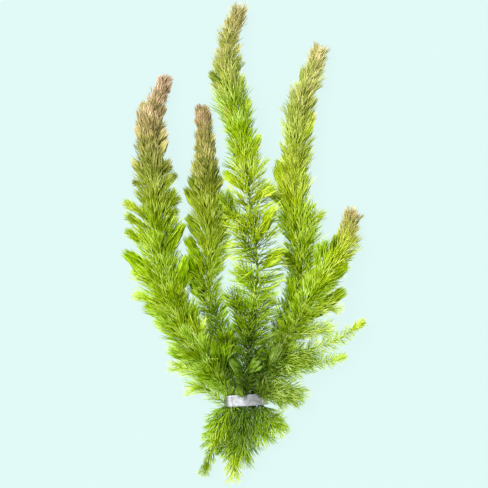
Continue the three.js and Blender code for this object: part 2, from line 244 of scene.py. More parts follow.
# %% Draw forked leaves
FORKS = (0.3, 0.58)  # where a leaf forks, as shares of its length
FORK_SHIFTS = (0.9, 1.1)  # no two leaves fork at quite the same place
FORK_SPREAD = 0.31  # how steeply a thread turns aside where it forks off
FORK_SPREADS = (0.7, 1.2)  # no two turn aside alike
SLOPE_KEPT = 0.7  # how much of its earlier slope it keeps
THREAD_ENDS = (0.86, 1.0)  # the last threads end here, as shares of the leaf's length
THREAD = 0.0165  # half the thickness of a leaf's root
LOWER_THREAD = (1.0, 0.9)  # how thick a thread is at its start and at the next fork, as a share of that,
LAST_THREAD = (0.85, 0.7, 0.0)  # and the same for a last thread at its start, further on and at its point
NEEDLE_POINT = 0.7  # how far on that is, as a share of the last thread
LEAF_CURVE = (0.02, 0.32)  # how far its points curve forward, as a share of its length


def forked_leaf(mesh, layers, chance):
    bend = chance.uniform(*LEAF_CURVE)

    def place(share, sideways):
        return Vector((share, sideways, bend * share * share))

    def grow_thread(start, sideways, slope, stops):
        last = len(stops) == 1
        end = chance.uniform(*THREAD_ENDS) if last else stops[0] * chance.uniform(*FORK_SHIFTS)
        reached = sideways + slope * (end - start)
        stations = (0, NEEDLE_POINT, 1) if last else (0, 1)
        points = [place(start + (end - start) * t, sideways + (reached - sideways) * t) for t in stations]
        radii = [THREAD * share for share in (LAST_THREAD if last else LOWER_THREAD)]
        add_thread(mesh, layers, points, radii, chance.random())
        if not last:
            for side in (-1, 1):
                turn = side * FORK_SPREAD * chance.uniform(*FORK_SPREADS)
                grow_thread(end, reached, slope * SLOPE_KEPT + turn, stops[1:])

    grow_thread(0.0, 0.0, 0.0, [*FORKS, 1.0])


print("points of a forked leaf:", 2 ** len(FORKS))

# %% Draw closed fans
FAN_NEEDLES = 12
FAN_ROOT = 0.15  # the needles start here, as a share of the fan's length,
FAN_STALK = (0.25, 0.6)  # and its stalk ends here, and is so much thinner at its end
FAN_WIDEST = (0.5, 0.8)  # where a needle stands out furthest
FAN_HALF = (0.1, 0.06)  # half of a fan's width and depth
FAN_ENDS = (0.9, 1.0)  # and where it ends
FAN_TIPS = (0.5, 0.9)  # how far apart its tips are, as a share of its widest part
FAN_NEEDLE = 0.021  # half the thickness of a needle
FAN_SHIFT = 0.3  # how far a needle strays from its place in the fan
FAN_CURVE = (0.02, 0.1)  # how far the fan's tips curve forward
WIDEST_CURVE = 0.3  # how much of that is reached where the fan is widest


def closed_fan(mesh, layers, chance):
    bend = chance.uniform(*FAN_CURVE)
    tips = chance.uniform(*FAN_TIPS)
    stalk = [Vector((0, 0, 0)), Vector((FAN_STALK[0], 0, 0))]
    add_thread(mesh, layers, stalk, [THREAD, THREAD * FAN_STALK[1]], MIDDLE_TINT)
    for needle in range(FAN_NEEDLES):
        angle = math.tau * (needle + chance.uniform(-FAN_SHIFT, FAN_SHIFT)) / FAN_NEEDLES
        outwards = Vector((0, FAN_HALF[0] * math.cos(angle), FAN_HALF[1] * math.sin(angle)))
        widest = chance.uniform(*FAN_WIDEST)
        end = chance.uniform(*FAN_ENDS)
        root = Vector((FAN_ROOT, 0, 0))
        middle = Vector((widest, 0, bend * WIDEST_CURVE)) + outwards
        point = Vector((end, 0, bend * end)) + outwards * tips
        add_thread(mesh, layers, [root, middle, point], [0, FAN_NEEDLE, 0], chance.random())


print("needles of a fan:", FAN_NEEDLES)

# %% Put the leaves on a shelf
LEAF_KINDS = 5  # leaves drawn of each sort
LEAF_SEED = 7


def drawn_leaf(name, draw, chance):
    mesh, layers = empty_leaf()
    draw(mesh, layers, chance)
    data = bpy.data.meshes.new(name)
    mesh.to_mesh(data)
    mesh.free()
    return bpy.data.objects.new(name, data)


leaf_shelf = bpy.data.collections.new("leaf_shelf")
chance = random.Random(LEAF_SEED)
for sort, draw in (("leaf_a_forked", forked_leaf), ("leaf_b_fan", closed_fan)):
    for kind in range(LEAF_KINDS):
        leaf_shelf.objects.link(drawn_leaf(f"{sort}_{kind}", draw, chance))

# %% [markdown]
# Whorls on a path
#
# The plant follows a rule: a stalk, and round it ring after ring of leaves. So a tree of Geometry Nodes grows
# it. The tree takes a thin chain of points, one for each whorl. Every point says how many leaves it has, how
# long they are, how far they lean away from the stalk, and their place on the colour ramp: their age, with
# painted shade where the stems crowd at the strip. The tree copies each point once for each leaf, turns the
# copies round the stalk, puts a leaf on each, and makes the stalk from the chain itself. Leaves that would
# sink into the surface are pressed onto it, one above the other, and leaves that stand up high sag, as they
# do out of water.

# %% Helpers for node trees
def add_node(tree, kind, inputs=None, **settings):
    """Adds a node. Its inputs are named or numbered, and are given values or sockets to link to."""
    node = tree.nodes.new(kind)
    for key, value in settings.items():
        setattr(node, key, value)
    for key, value in (inputs or {}).items():
        if isinstance(value, bpy.types.NodeSocket):
            tree.links.new(value, node.inputs[key])
        else:
            node.inputs[key].default_value = value
    return node


def calculate(tree, operation, *values):
    return add_node(tree, "ShaderNodeMath", dict(enumerate(values)), operation=operation).outputs[0]


def combine(tree, operation, *vectors):
    return add_node(tree, "ShaderNodeVectorMath", dict(enumerate(vectors)), operation=operation).outputs[0]


def stretch(tree, vector, amount):
    inputs = {"Vector": vector, "Scale": amount}
    return add_node(tree, "ShaderNodeVectorMath", inputs, operation="SCALE").outputs[0]


def read(tree, name, data_type="FLOAT"):
    return add_node(tree, "GeometryNodeInputNamedAttribute", {"Name": name}, data_type=data_type).outputs[0]


def by_chance(tree, low, high, seed):
    inputs = {2: low, 3: high, "Seed": seed}
    return add_node(tree, "FunctionNodeRandomValue", inputs, data_type="FLOAT").outputs[1]


def store(tree, geometry, name, value):
    inputs = {"Geometry": geometry, "Name": name, "Value": value}
    return add_node(tree, "GeometryNodeStoreNamedAttribute", inputs, data_type="FLOAT").outputs[0]


helpers = (calculate, combine, stretch, read, by_chance, store)
print("helpers that add a node:", ", ".join(helper.__name__ for helper in helpers))

# %% Start the tree
SEEDS_NEEDED = 7  # each thing that is left to chance has a seed of its own,
SEED_STEP = 17.0  # this far from the last
TREE_INPUTS = [
    ("Path", "Geometry"),
    ("Leaves", "Collection"),
    ("Length Variation", "Float", 0.3),
    ("Twist", "Float", 0.5),
    ("Missing Leaves", "Float", 0.06),
    ("Seed", "Int", 1),
    ("Material", "Material"),
]


def add_sockets(tree, in_out, sockets):
    """Gives a tree its named inputs or outputs. An input may have a value that it starts with."""
    for name, kind, *value in sockets:
        socket = tree.interface.new_socket(name, in_out=in_out, socket_type=f"NodeSocket{kind}")
        if value:
            socket.default_value = value[0]


grower = bpy.data.node_groups.new("whorls_on_a_path", "GeometryNodeTree")
add_sockets(grower, "INPUT", TREE_INPUTS)
add_sockets(grower, "OUTPUT", [("Foliage", "Geometry")])
given = grower.nodes.new("NodeGroupInput").outputs
seeds = [calculate(grower, "ADD", given["Seed"], SEED_STEP * number) for number in range(SEEDS_NEEDED)]
print("inputs of the tree:", ", ".join(name for name, *_ in TREE_INPUTS))


# %% One point for every leaf
def leaf_points(tree):
    """Copies each point of the path for its leaves. A copy knows its number in the whorl."""
    points = add_node(tree, "GeometryNodeMeshToPoints", {"Mesh": given["Path"]}).outputs[0]
    inputs = {"Geometry": points, "Amount": read(tree, "leaves", "INT")}
    copies = add_node(tree, "GeometryNodeDuplicateElements", inputs, domain="POINT").outputs
    numbered = store(tree, copies["Geometry"], "slot", copies["Duplicate Index"])
    tinted = store(tree, numbered, "leaf_tint", by_chance(tree, 0.0, 1.0, seeds[0]))
    missing = calculate(tree, "LESS_THAN", by_chance(tree, 0.0, 1.0, seeds[1]), given["Missing Leaves"])
    inputs = {"Geometry": tinted, "Selection": missing}
    return add_node(tree, "GeometryNodeDeleteGeometry", inputs, domain="POINT").outputs[0]


points = leaf_points(grower)
print("nodes for the points:", len(grower.nodes))

# %% Turn each leaf
TURN_CHANCE = 0.22  # how far a leaf strays from its place round the stalk, in radians


def leaf_rotation(tree):
    """Turns a leaf to its place round the stalk, leans it away, and twists it a little."""
    along = read(tree, "along", "FLOAT_VECTOR")
    across = combine(tree, "NORMALIZE", combine(tree, "CROSS_PRODUCT", (0.0, 0.0, 1.0), along))
    upwards = combine(tree, "CROSS_PRODUCT", along, across)
    share = calculate(tree, "DIVIDE", read(tree, "slot"), read(tree, "leaves", "INT"))
    turn = calculate(tree, "MULTIPLY_ADD", share, math.tau, read(tree, "phase"))
    turn = calculate(tree, "ADD", turn, by_chance(tree, -TURN_CHANCE, TURN_CHANCE, seeds[2]))
    sideways = stretch(tree, across, calculate(tree, "COSINE", turn))
    outwards = combine(tree, "ADD", sideways, stretch(tree, upwards, calculate(tree, "SINE", turn)))
    change = calculate(tree, "MULTIPLY", by_chance(tree, -1.0, 1.0, seeds[3]), read(tree, "looseness"))
    lean = calculate(tree, "ADD", read(tree, "lean"), change)
    forward = stretch(tree, along, calculate(tree, "COSINE", lean))
    pointing = combine(tree, "ADD", forward, stretch(tree, outwards, calculate(tree, "SINE", lean)))
    inputs = {"Primary Axis": pointing, "Secondary Axis": along}
    axes = {"primary_axis": "X", "secondary_axis": "Z"}
    straight = add_node(tree, "FunctionNodeAxesToRotation", inputs, **axes).outputs[0]
    twist = calculate(tree, "MULTIPLY", by_chance(tree, -1.0, 1.0, seeds[4]), given["Twist"])
    inputs = {"Axis": (1.0, 0.0, 0.0), "Angle": twist}
    roll = add_node(tree, "FunctionNodeAxisAngleToRotation", inputs).outputs[0]
    inputs = {"Rotation": straight, "Rotate By": roll}
    return add_node(tree, "FunctionNodeRotateRotation", inputs, rotation_space="LOCAL").outputs[0]


rotation = leaf_rotation(grower)
print("nodes with those for the turn:", len(grower.nodes))

# %% Put the leaves on the points
LEAF_WIDTH = (0.5, 5.0 * MM)  # short forked leaves are not as thin as they are short
LAST_KIND = LEAF_KINDS - 0.01  # rounded down, chance picks from the first kind to the last


def leaves_on(tree, points, rotation):
    loss = calculate(tree, "MULTIPLY", by_chance(tree, 0.0, 1.0, seeds[5]), given["Length Variation"])
    length = calculate(tree, "MULTIPLY", read(tree, "leaf_length"), calculate(tree, "SUBTRACT", 1.0, loss))
    closed = calculate(tree, "GREATER_THAN", read(tree, "fan_width"), 0.0)
    kind = by_chance(tree, 0.0, LAST_KIND, seeds[6])
    pick = calculate(tree, "FLOOR", calculate(tree, "MULTIPLY_ADD", closed, float(LEAF_KINDS), kind))
    inputs = {"Collection": given["Leaves"], "Separate Children": True, "Reset Children": True}
    shelf = add_node(tree, "GeometryNodeCollectionInfo", inputs).outputs[0]
    inputs = {"Points": points, "Instance": shelf, "Pick Instance": True, "Instance Index": pick}
    broader = calculate(tree, "MULTIPLY_ADD", length, LEAF_WIDTH[0], LEAF_WIDTH[1])
    fan = calculate(tree, "MULTIPLY", length, read(tree, "fan_width"))
    width = add_node(tree, "ShaderNodeMix", {"Factor": closed, "A": broader, "B": fan}).outputs[0]
    size = add_node(tree, "ShaderNodeCombineXYZ", {0: length, 1: width, 2: width}).outputs[0]
    leaves = add_node(tree, "GeometryNodeInstanceOnPoints", inputs | {"Rotation": rotation, "Scale": size})
    return add_node(tree, "GeometryNodeRealizeInstances", {"Geometry": leaves.outputs[0]}).outputs[0]


leaves = leaves_on(grower, points, rotation)
print("nodes with those for the leaves:", len(grower.nodes))

# %% Make the stalk
STALK_SIDES = 6


def stalk_of(tree):
    chain = add_node(tree, "GeometryNodeMeshToCurve", {"Mesh": given["Path"]}).outputs[0]
    inputs = {"Resolution": STALK_SIDES, "Radius": 1.0}
    section = add_node(tree, "GeometryNodeCurvePrimitiveCircle", inputs).outputs[0]
    inputs = {"Curve": chain, "Profile Curve": section, "Scale": read(tree, "girth"), "Fill Caps": True}
    tube = add_node(tree, "GeometryNodeCurveToMesh", inputs).outputs[0]
    return store(tree, tube, "stalk", 1.0)


stalk = stalk_of(grower)
print("sides of a stalk:", STALK_SIDES)

# %% Lay the plant down
FLOOR_GAP = 0.2 * MM  # what is left under the lowest leaves
PRESSED_LAYER = 1.5 * MM  # how deep the leaves that are pressed on the surface lie
SAG_FROM = 34.0 * MM  # leaves that stand up higher than this sag,
SAG = 0.5  # and lose this share of the height above it


def laid_down(tree, geometry):
    """The lowest leaves lie on the surface, and the highest ones sag."""
    place = add_node(tree, "GeometryNodeInputPosition").outputs[0]
    x, y, z = add_node(tree, "ShaderNodeSeparateXYZ", {0: place}).outputs
    layer = calculate(tree, "MULTIPLY_ADD", read(tree, "leaf_tint"), PRESSED_LAYER, FLOOR_GAP)
    raised = calculate(tree, "MAXIMUM", z, layer)
    above = calculate(tree, "MAXIMUM", calculate(tree, "SUBTRACT", raised, SAG_FROM), 0.0)
    settled = calculate(tree, "MULTIPLY_ADD", above, -SAG, raised)
    settled = add_node(tree, "ShaderNodeCombineXYZ", {0: x, 1: y, 2: settled}).outputs[0]
    return add_node(tree, "GeometryNodeSetPosition", {"Geometry": geometry, "Position": settled}).outputs[0]


both = grower.nodes.new("GeometryNodeJoinGeometry")
for geometry in (leaves, stalk):
    grower.links.new(geometry, both.inputs[0])
plant = add_node(grower, "GeometryNodeRealizeInstances", {"Geometry": laid_down(grower, both.outputs[0])})
inputs = {"Geometry": plant.outputs[0], "Material": given["Material"]}
painted = add_node(grower, "GeometryNodeSetMaterial", inputs).outputs[0]
grower.links.new(painted, grower.nodes.new("NodeGroupOutput").inputs[0])
print("nodes in the tree:", len(grower.nodes))

# %% [markdown]
# Routes
#
# A route is a smooth curve through a few stations, and each station also says how far the leaves reach there
# and how full the foliage is. Blender's own curves could carry the shape, but here the leaf tips, not their
# roots, have to follow the stations, so the script needs to look ahead along the curve.

# %% Follow a route
ROUTE_STEPS = 16  # rows from one station to the next


def smooth_rows(stations):
    """A smooth curve through the stations. All of their numbers are smoothed alike."""
    rows = np.array(stations, dtype=float)
    rows = np.vstack([2 * rows[0] - rows[1], rows, 2 * rows[-1] - rows[-2]])
    t = (np.arange(ROUTE_STEPS) / ROUTE_STEPS)[:, None]
    pieces = []
    for before, low, high, after in zip(rows, rows[1:], rows[2:], rows[3:]):
        square = (2 * before - 5 * low + 4 * high - after) * t**2
        cube = (3 * low - before - 3 * high + after) * t**3
        pieces.append((2 * low + (high - before) * t + square + cube) / 2)
    return np.vstack([*pieces, rows[-2]])


class Route:
    """A curve in rows of x, y, z, reach and fullness, read by the distance travelled along it."""

    def __init__(self, rows):
        self.rows = np.array(rows)
        steps = np.linalg.norm(np.diff(self.rows[:, :3], axis=0), axis=1)
        self.travel = np.concatenate([[0.0], np.cumsum(steps)])
        self.length = self.travel[-1]

    def at(self, distance):
        return np.array([np.interp(distance, self.travel, column) for column in self.rows.T])

    def place(self, distance):
        return self.at(distance)[:3]

    def along(self, distance):
        change = self.place(distance + 1) - self.place(distance - 1)
        return change / np.linalg.norm(change)


test_route = Route(smooth_rows([[0, 0, 5, 4, 0.6], [0, 10, 5, 4, 0.6], [5, 20, 5, 3, 0.6]]))
print("a test route is", round(test_route.length, 1), "mm long")

# %% [markdown]
# Whorls on a route
#
# Whorls are far apart where a stem is old and open, and close together at the growing tip. Full foliage is
# made of leaves that point forward, and open foliage of leaves that stand out flat. So the lean comes from
# the fullness, and the length of the leaf from the reach and the lean.

# %% What a whorl knows
# a whorl's place on the colour ramp is its age, with painted shade near the strip
Whorl = namedtuple("Whorl", "place along leaves leaf_length lean looseness fan_width girth age limb_tint")
LEAN = ((0.1, 0.3, 0.7, 0.8, 0.95), (84.0, 70.0, 46.0, 32.0, 14.0))  # by fullness, in degrees
OPEN = 0.7  # foliage less full than this is open, and more so the less full it is
REACH_GAIN = (1.24, 0.35)  # makes up for leaves shorter than the longest: fixed, and for open foliage
SPACING = (0.75, 0.05)  # mm between two whorls: a fixed part, and a part for each mm of reach
OPEN_SPACING = 6.0  # how much wider the spacing gets where the foliage is open
GAPS = (0.7, 1.3)  # no two gaps between whorls are the same
OPEN_LEAVES = 0.75  # how many more leaves a whorl has where the foliage is open
WHORL_COUNTS = (0.85, 1.15)  # no two whorls have as many leaves,
WHORL_SIZES = (0.86, 1.1)  # or are of one size
LOOSENESS = (0.13, 0.5)  # how far the leaves of a whorl stray: a fixed part, and a part for open foliage
TILT = (0.07, 0.35)  # how far a whorl stands askew, likewise
NO_FANS = 1000  # fans come in one whorl of so many, so in none
FAN_FULLNESS = 0.73  # foliage less full than this has few fans,
FAN_BLEND = 0.03  # and foliage less full by more than this has none
FAN_AGE = 0.08  # how much younger the fans are than the leaves beside them
print("a whorl knows:", ", ".join(Whorl._fields))

# %% Lean of a leaf and aim of a whorl
def leaf_tip(lean, curve):
    """How far out and how far forward the tip of a leaf is that is 1 unit long and curves forward."""
    bend = sum(curve) / 2
    return math.sin(lean) - bend * math.cos(lean), math.cos(lean) + bend * math.sin(lean)


def askew(along, amount, chance):
    return along + np.array([chance.uniform(-amount, amount) for _ in range(3)])


print("the tip of a leaf that leans 45 degrees:", np.round(leaf_tip(math.pi / 4, LEAF_CURVE), 2))

# %% Place the whorls
TIP_ROUNDS = 5  # each round finds the place of a leaf's tip more closely


def whorl_at(route, distance, facts, younger=0, **own):
    """A whorl, from what all whorls of its limb have in common and what is its own."""
    # the place on the colour ramp: the leaves' age, with painted shade near the strip
    age = np.interp(distance / route.length, *facts["ages_and_shade"]) + younger
    place = route.place(distance)
    return Whorl(place=place, girth=facts["girth"], age=age, limb_tint=facts["limb_tint"], **own)


def place_whorls(route, start, heading, facts, chance):
    """Whorls from `start` to the end of the route that `heading`, 1 or -1, leads to."""
    whorls = []
    distance = start
    while 0 <= distance <= route.length:
        tip = distance
        full = route.at(distance)[4] + chance.uniform(-FAN_BLEND, FAN_BLEND) > FAN_FULLNESS
        fans = full and len(whorls) % facts["fan_every"] == facts["fan_every"] - 1
        for _ in range(TIP_ROUNDS):
            reach, fullness = route.at(tip)[3:]
            lean = math.radians(np.interp(fullness, *LEAN))
            outwards, forwards = leaf_tip(lean, FAN_CURVE if fans else LEAF_CURVE)
            tip = distance + heading * reach * forwards / outwards
        if not 0 <= tip <= route.length:
            break
        gain = REACH_GAIN[0] + REACH_GAIN[1] * max(0.0, OPEN - fullness)
        inner = 1 if fans else facts["inner"]
        openness = max(0.0, OPEN - route.at(distance)[4])
        leaves = facts["fans"] if fans else facts["leaves"] * (1 + OPEN_LEAVES * openness)
        whorl = whorl_at(
            route, distance, facts,
            younger=FAN_AGE if fans else 0,
            along=askew(route.along(distance) * heading, TILT[0] + TILT[1] * openness, chance),
            leaves=round(leaves * chance.uniform(*WHORL_COUNTS)),
            leaf_length=gain * reach / outwards * inner * chance.uniform(*WHORL_SIZES),
            lean=lean,
            looseness=(LOOSENESS[0] + LOOSENESS[1] * openness) * facts["loose"],
            fan_width=facts["fan_width"] if fans else 0,
        )
        whorls.append(whorl)
        reach_here = route.at(distance)[3]
        spacing = (SPACING[0] + SPACING[1] * reach_here) * (1 + OPEN_SPACING * openness**2)
        distance += heading * spacing * facts["spacing"] * chance.uniform(*GAPS)
    return whorls


TEST_FACTS = {"leaves": 8, "fans": 5, "fan_every": 5, "fan_width": 1, "loose": 1, "spacing": 1, "inner": 0.9}
TEST_FACTS |= {"girth": 0.4, "ages_and_shade": ((0, 1), (0, 1)), "limb_tint": MIDDLE_TINT}
print("whorls on the test route:", len(place_whorls(test_route, 0, 1, TEST_FACTS, random.Random(1))))

# %% Place a closed bundle
BUNDLE_WHORLS = 4
BUNDLE_ROOTS = 0.5  # the last leaves of a closed shoot start here, as a share of its length
BUNDLE_LENGTHS = (0.9, 1.05)  # how much of the way to its tip they cover
BUNDLE_LOOSENESS = 0.14
WIDEST_BUNDLE = 0.5  # half of its width is at most this share of what is left of its length


def place_bundle(route, start, half_width, facts, chance):
    """A closed side shoot: a bundle of long leaves that all end near its tip."""
    whorls = []
    for share in np.linspace(0, BUNDLE_ROOTS, BUNDLE_WHORLS):
        distance = start + (route.length - start) * share
        aim = route.place(route.length) - route.place(distance)
        left = np.linalg.norm(aim)
        whorl = whorl_at(
            route, distance, facts,
            along=aim / left,
            leaves=facts["fans" if facts["fan_width"] else "leaves"],
            leaf_length=left * chance.uniform(*BUNDLE_LENGTHS),
            lean=math.asin(min(WIDEST_BUNDLE, half_width / left)),
            looseness=BUNDLE_LOOSENESS,
            fan_width=facts["fan_width"],
        )
        whorls.append(whorl)
    return whorls


test_bundle = place_bundle(test_route, 0, 1, TEST_FACTS, random.Random(1))
print("leaves in a test bundle, mm:", [round(whorl.leaf_length) for whorl in test_bundle])

# %% [markdown]
# From chains to a piece
#
# A piece is one stem with its buds, or one side shoot. Its chains of whorls become a mesh of bare points and
# edges that carries what the tree asks for. Once the tree has grown the leaves, the result is kept as a plain
# mesh, so that the piece no longer depends on the tree.

# %% Draw the chains
ATTRIBUTES = {"along": "FLOAT_VECTOR", "leaves": "INT"} | dict.fromkeys(
    ("leaf_length", "lean", "looseness", "fan_width", "girth", "age", "limb_tint", "phase"), "FLOAT"
)
IN_MM = {"leaf_length", "girth"}


def path_mesh(name, chains, chance):
    points, edges = [], []
    for chain in chains:
        first = len(points)
        points += chain
        edges += [(number, number + 1) for number in range(first, first + len(chain) - 1)]
    mesh = bpy.data.meshes.new(name)
    places = np.array([point.place for point in points]) * MM + drawing_zero
    mesh.from_pydata(places.tolist(), edges, [])
    for label, kind in ATTRIBUTES.items():
        if label == "phase":
            values = [chance.uniform(0, math.tau) for _ in points]
        else:
            values = [getattr(point, label) for point in points]
        values = np.array(values).ravel() * (MM if label in IN_MM else 1)
        attribute = mesh.attributes.new(label, kind, "POINT")
        attribute.data.foreach_set("vector" if kind == "FLOAT_VECTOR" else "value", values.tolist())
    return mesh


print("each point carries:", ", ".join(ATTRIBUTES))

# %% Grow a piece on its chains
DROPPED = ATTRIBUTES.keys() - {"age", "limb_tint"} | {"slot"}  # the materials have no use for these


def make_plain(piece):
    """Puts the mesh that the modifiers of a piece make in their place."""
    depsgraph = bpy.context.evaluated_depsgraph_get()
    result = piece.evaluated_get(depsgraph)
    mesh = bpy.data.meshes.new_from_object(result, preserve_all_data_layers=True, depsgraph=depsgraph)
    piece.modifiers.clear()
    piece.data = mesh
    return mesh


def grow_piece(node, chains, material, seed):
    """Runs the tree on the chains, and puts the result in the place of a CAD node as a plain mesh."""
    piece = put_in_scene(f"{node}_foliage", path_mesh(node, chains, random.Random(seed)))
    modifier = piece.modifiers.new("whorls", "NODES")
    modifier.node_group = grower
    values = {"Leaves": leaf_shelf, "Seed": seed, "Material": material}
    for item in grower.interface.items_tree:
        if item.in_out == "INPUT" and item.name in values:
            modifier[item.identifier] = values[item.name]
    mesh = make_plain(piece)
    for label in [attribute.name for attribute in mesh.attributes]:
        if label in DROPPED:
            mesh.attributes.remove(mesh.attributes[label])
    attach(piece, "root")
    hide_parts(node)
    return sum(len(polygon.vertices) - 2 for polygon in mesh.polygons)


# %% [markdown]
# The colour of the leaves
#
# The growing tips are rosy tan, and the middle of the bunch is fresh green. Below, round the strip where the
# stems crowd, the leaves are dark with painted shade of the core of the bunch. A painted picture would have
# no room for thousands of threads, so the points of the mesh carry a few values instead. Each stem has a ramp
# of colours, read with the age and shade of the leaf, where 0 is the painted shade at the strip and 1 the
# youngest leaf. One shared group of nodes then varies the colour: each leaf and each side shoot a little,
# painted shade at the root of a leaf and painted light at its points, a painted sheen that greys the palest
# leaves, and the stalk apart.

# %% Helpers for materials
def shader_attribute(tree, name):
    settings = {"attribute_name": name, "attribute_type": "GEOMETRY"}
    return add_node(tree, "ShaderNodeAttribute", **settings).outputs["Fac"]


def between(tree, value, low, high, start=0.0, stop=1.0):
    """Goes from low to high while the value goes from start to stop."""
    inputs = {"Value": value, "From Min": start, "From Max": stop, "To Min": low, "To Max": high}
    return add_node(tree, "ShaderNodeMapRange", inputs).outputs[0]


def unevenness(tree, scale, detail):
    """Noise that stays where it is on the piece. Its clouds are 1 / scale metres across."""
    place = tree.nodes.new("ShaderNodeTexCoord").outputs["Object"]
    inputs = {"Vector": place, "Scale": scale, "Detail": detail}
    return add_node(tree, "ShaderNodeTexNoise", inputs).outputs[0]


def colour_ramp(tree, share, stops):
    ramp = add_node(tree, "ShaderNodeValToRGB", {"Fac": share})
    elements = ramp.color_ramp.elements
    while len(elements) < len(stops):
        elements.new(0.5)
    for element, (position, colour) in zip(elements, stops):
        element.position = position
        element.color = colour
    return ramp.outputs[0]


def add_bumps(tree, surface, height, strength, depth):
    bump = add_node(tree, "ShaderNodeBump", {"Height": height, "Strength": strength, "Distance": depth})
    tree.links.new(bump.outputs[0], surface.inputs["Normal"])


print("materials so far:", len(bpy.data.materials))

# %% How the leaf colours vary
LIMB_WEIGHT = 1.4  # a side shoot's own tint counts for more than that of a leaf
TINT_SHADE = 0.55  # how much lighter the palest leaves are
YOUNG_HUE = -0.02  # paler leaves are also yellower
# painted shade at the root of a leaf, deep in its whorl by the stalk, and painted light at its points
PAINTED_ROOT_SHADE = 0.4
PAINTED_POINT_LIGHT = 1.2
LEAF_ROUGHNESS = (0.62, 0.42)  # at the root of a leaf and at its points
CLUMP_SCALE = 90.0  # clumps of lighter and darker leaves are about 11 mm across
CLUMP_SHADES = (0.55, 1.45)
PATCH_SCALE = 22.0  # and patches of yellower and greener leaves about 45 mm
PATCH_HUES = (0.512, 0.482)
RIB_SCALE = 1600.0  # fine unevenness of a thread, less than a millimetre across
PAINTED_SHEEN_SATURATIONS = (1.05, 0.66)  # dark leaves have more colour than pale ones, which are greyed by a painted sheen
SATURATION_SHADES = (0.95, 2.0)  # how light those are
print("clumps and patches, mm:", [round(1 / scale / MM) for scale in (CLUMP_SCALE, PATCH_SCALE)])


# %% Group of nodes for every leaf material
def leaf_tone_group():
    tree = bpy.data.node_groups.new("leaf_tone", "ShaderNodeTree")
    add_sockets(tree, "INPUT", [("Colour", "Color"), ("Stalk Colour", "Color"), ("Variation", "Float")])
    add_sockets(tree, "OUTPUT", [("Colour", "Color"), ("Roughness", "Float"), ("Ribs", "Float")])
    given = tree.nodes.new("NodeGroupInput").outputs
    leaf, limb, needle = (
        calculate(tree, "SUBTRACT", shader_attribute(tree, label), MIDDLE_TINT)
        for label in ("leaf_tint", "limb_tint", "thread_tint")
    )
    tint = calculate(tree, "MULTIPLY_ADD", limb, LIMB_WEIGHT, calculate(tree, "ADD", leaf, needle))
    tint = calculate(tree, "MULTIPLY", tint, given["Variation"])
    patches = unevenness(tree, PATCH_SCALE, 0.0)
    hue = calculate(tree, "MULTIPLY_ADD", tint, YOUNG_HUE, between(tree, patches, *PATCH_HUES))
    share = shader_attribute(tree, "leaf_share")
    # the leaf's random tint, times painted shade at its root and painted light at its points
    shade = calculate(tree, "MULTIPLY_ADD", tint, TINT_SHADE, between(tree, share, PAINTED_ROOT_SHADE, PAINTED_POINT_LIGHT))
    clumps = unevenness(tree, CLUMP_SCALE, 1.0)
    shade = calculate(tree, "MULTIPLY", shade, between(tree, clumps, *CLUMP_SHADES))
    # the palest leaves lose colour: a painted sheen
    saturation = between(tree, shade, *PAINTED_SHEEN_SATURATIONS, *SATURATION_SHADES)
    inputs = {"Hue": hue, "Saturation": saturation, "Value": shade, "Color": given["Colour"]}
    varied = add_node(tree, "ShaderNodeHueSaturation", inputs).outputs[0]
    inputs = {"Factor": shader_attribute(tree, "stalk"), 6: varied, 7: given["Stalk Colour"]}
    mixed = add_node(tree, "ShaderNodeMix", inputs, data_type="RGBA").outputs[2]
    result = tree.nodes.new("NodeGroupOutput").inputs
    tree.links.new(mixed, result["Colour"])
    tree.links.new(between(tree, share, *LEAF_ROUGHNESS), result["Roughness"])
    tree.links.new(unevenness(tree, RIB_SCALE, 2.0), result["Ribs"])
    return tree


leaf_tone = leaf_tone_group()
print("nodes in the shared group:", len(leaf_tone.nodes))

# %% Colours of the leaves, by age and painted shade
ROSY_TAN = linear(202, 178, 138)
BROWN_TAN = linear(186, 160, 116)
PALE_TAN = linear(208, 196, 132)
OLIVE_TAN = linear(184, 176, 102)
OLIVE = linear(156, 168, 70)
LIME = linear(192, 219, 56)
OLIVE_LIME = linear(186, 202, 86)
PALE_OLIVE = linear(196, 204, 114)
LEAF_GREEN = linear(164, 204, 36)
DEEP_GREEN = linear(126, 166, 40)
# a dark green for painted shade of the crowded core round the strip
CORE_SHADE_GREEN = linear(91, 127, 38)
RAMPS = {  # from the leaves at the strip, 0, dark with painted shade of the crowded core, to the growing tip, 1
    "stem_1": [
        (0.0, DEEP_GREEN), (0.04, LEAF_GREEN), (0.52, LIME), (0.71, OLIVE), (0.85, OLIVE_TAN),
        (1.0, ROSY_TAN),
    ],
    "stem_2": [
        (0.0, CORE_SHADE_GREEN), (0.13, DEEP_GREEN), (0.26, LEAF_GREEN), (0.45, LIME), (0.8, OLIVE),
        (0.94, OLIVE_TAN), (1.0, BROWN_TAN),
    ],
    "stem_3": [
        (0.0, CORE_SHADE_GREEN), (0.14, DEEP_GREEN), (0.26, LEAF_GREEN), (0.48, LIME), (0.66, LEAF_GREEN),
        (0.8, OLIVE_LIME), (0.95, OLIVE_TAN), (1.0, PALE_TAN),
    ],
    "stem_4": [
        (0.0, CORE_SHADE_GREEN), (0.13, DEEP_GREEN), (0.26, LEAF_GREEN), (0.54, LIME), (0.78, OLIVE_LIME),
        (0.91, PALE_OLIVE), (1.0, PALE_TAN),
    ],
    "stem_5": [
        (0.0, CORE_SHADE_GREEN), (0.24, DEEP_GREEN), (0.5, LEAF_GREEN), (0.76, LIME), (0.92, OLIVE_TAN),
        (1.0, PALE_TAN),
    ],
}
print("colours for each stem:", {stem: len(stops) for stem, stops in RAMPS.items()})

# %% Leaf materials
STALK_COLOURS = dict.fromkeys(RAMPS, linear(116, 140, 44)) | {"stem_5": linear(196, 206, 110)}
POINT_AGE = 0.2  # how much younger the points of a leaf look than its root
OWN_AGE = 0.6  # where along a leaf it shows the age and painted shade of its whorl
RIB_BUMPS = (0.3, 0.2 * MM)  # strength and depth


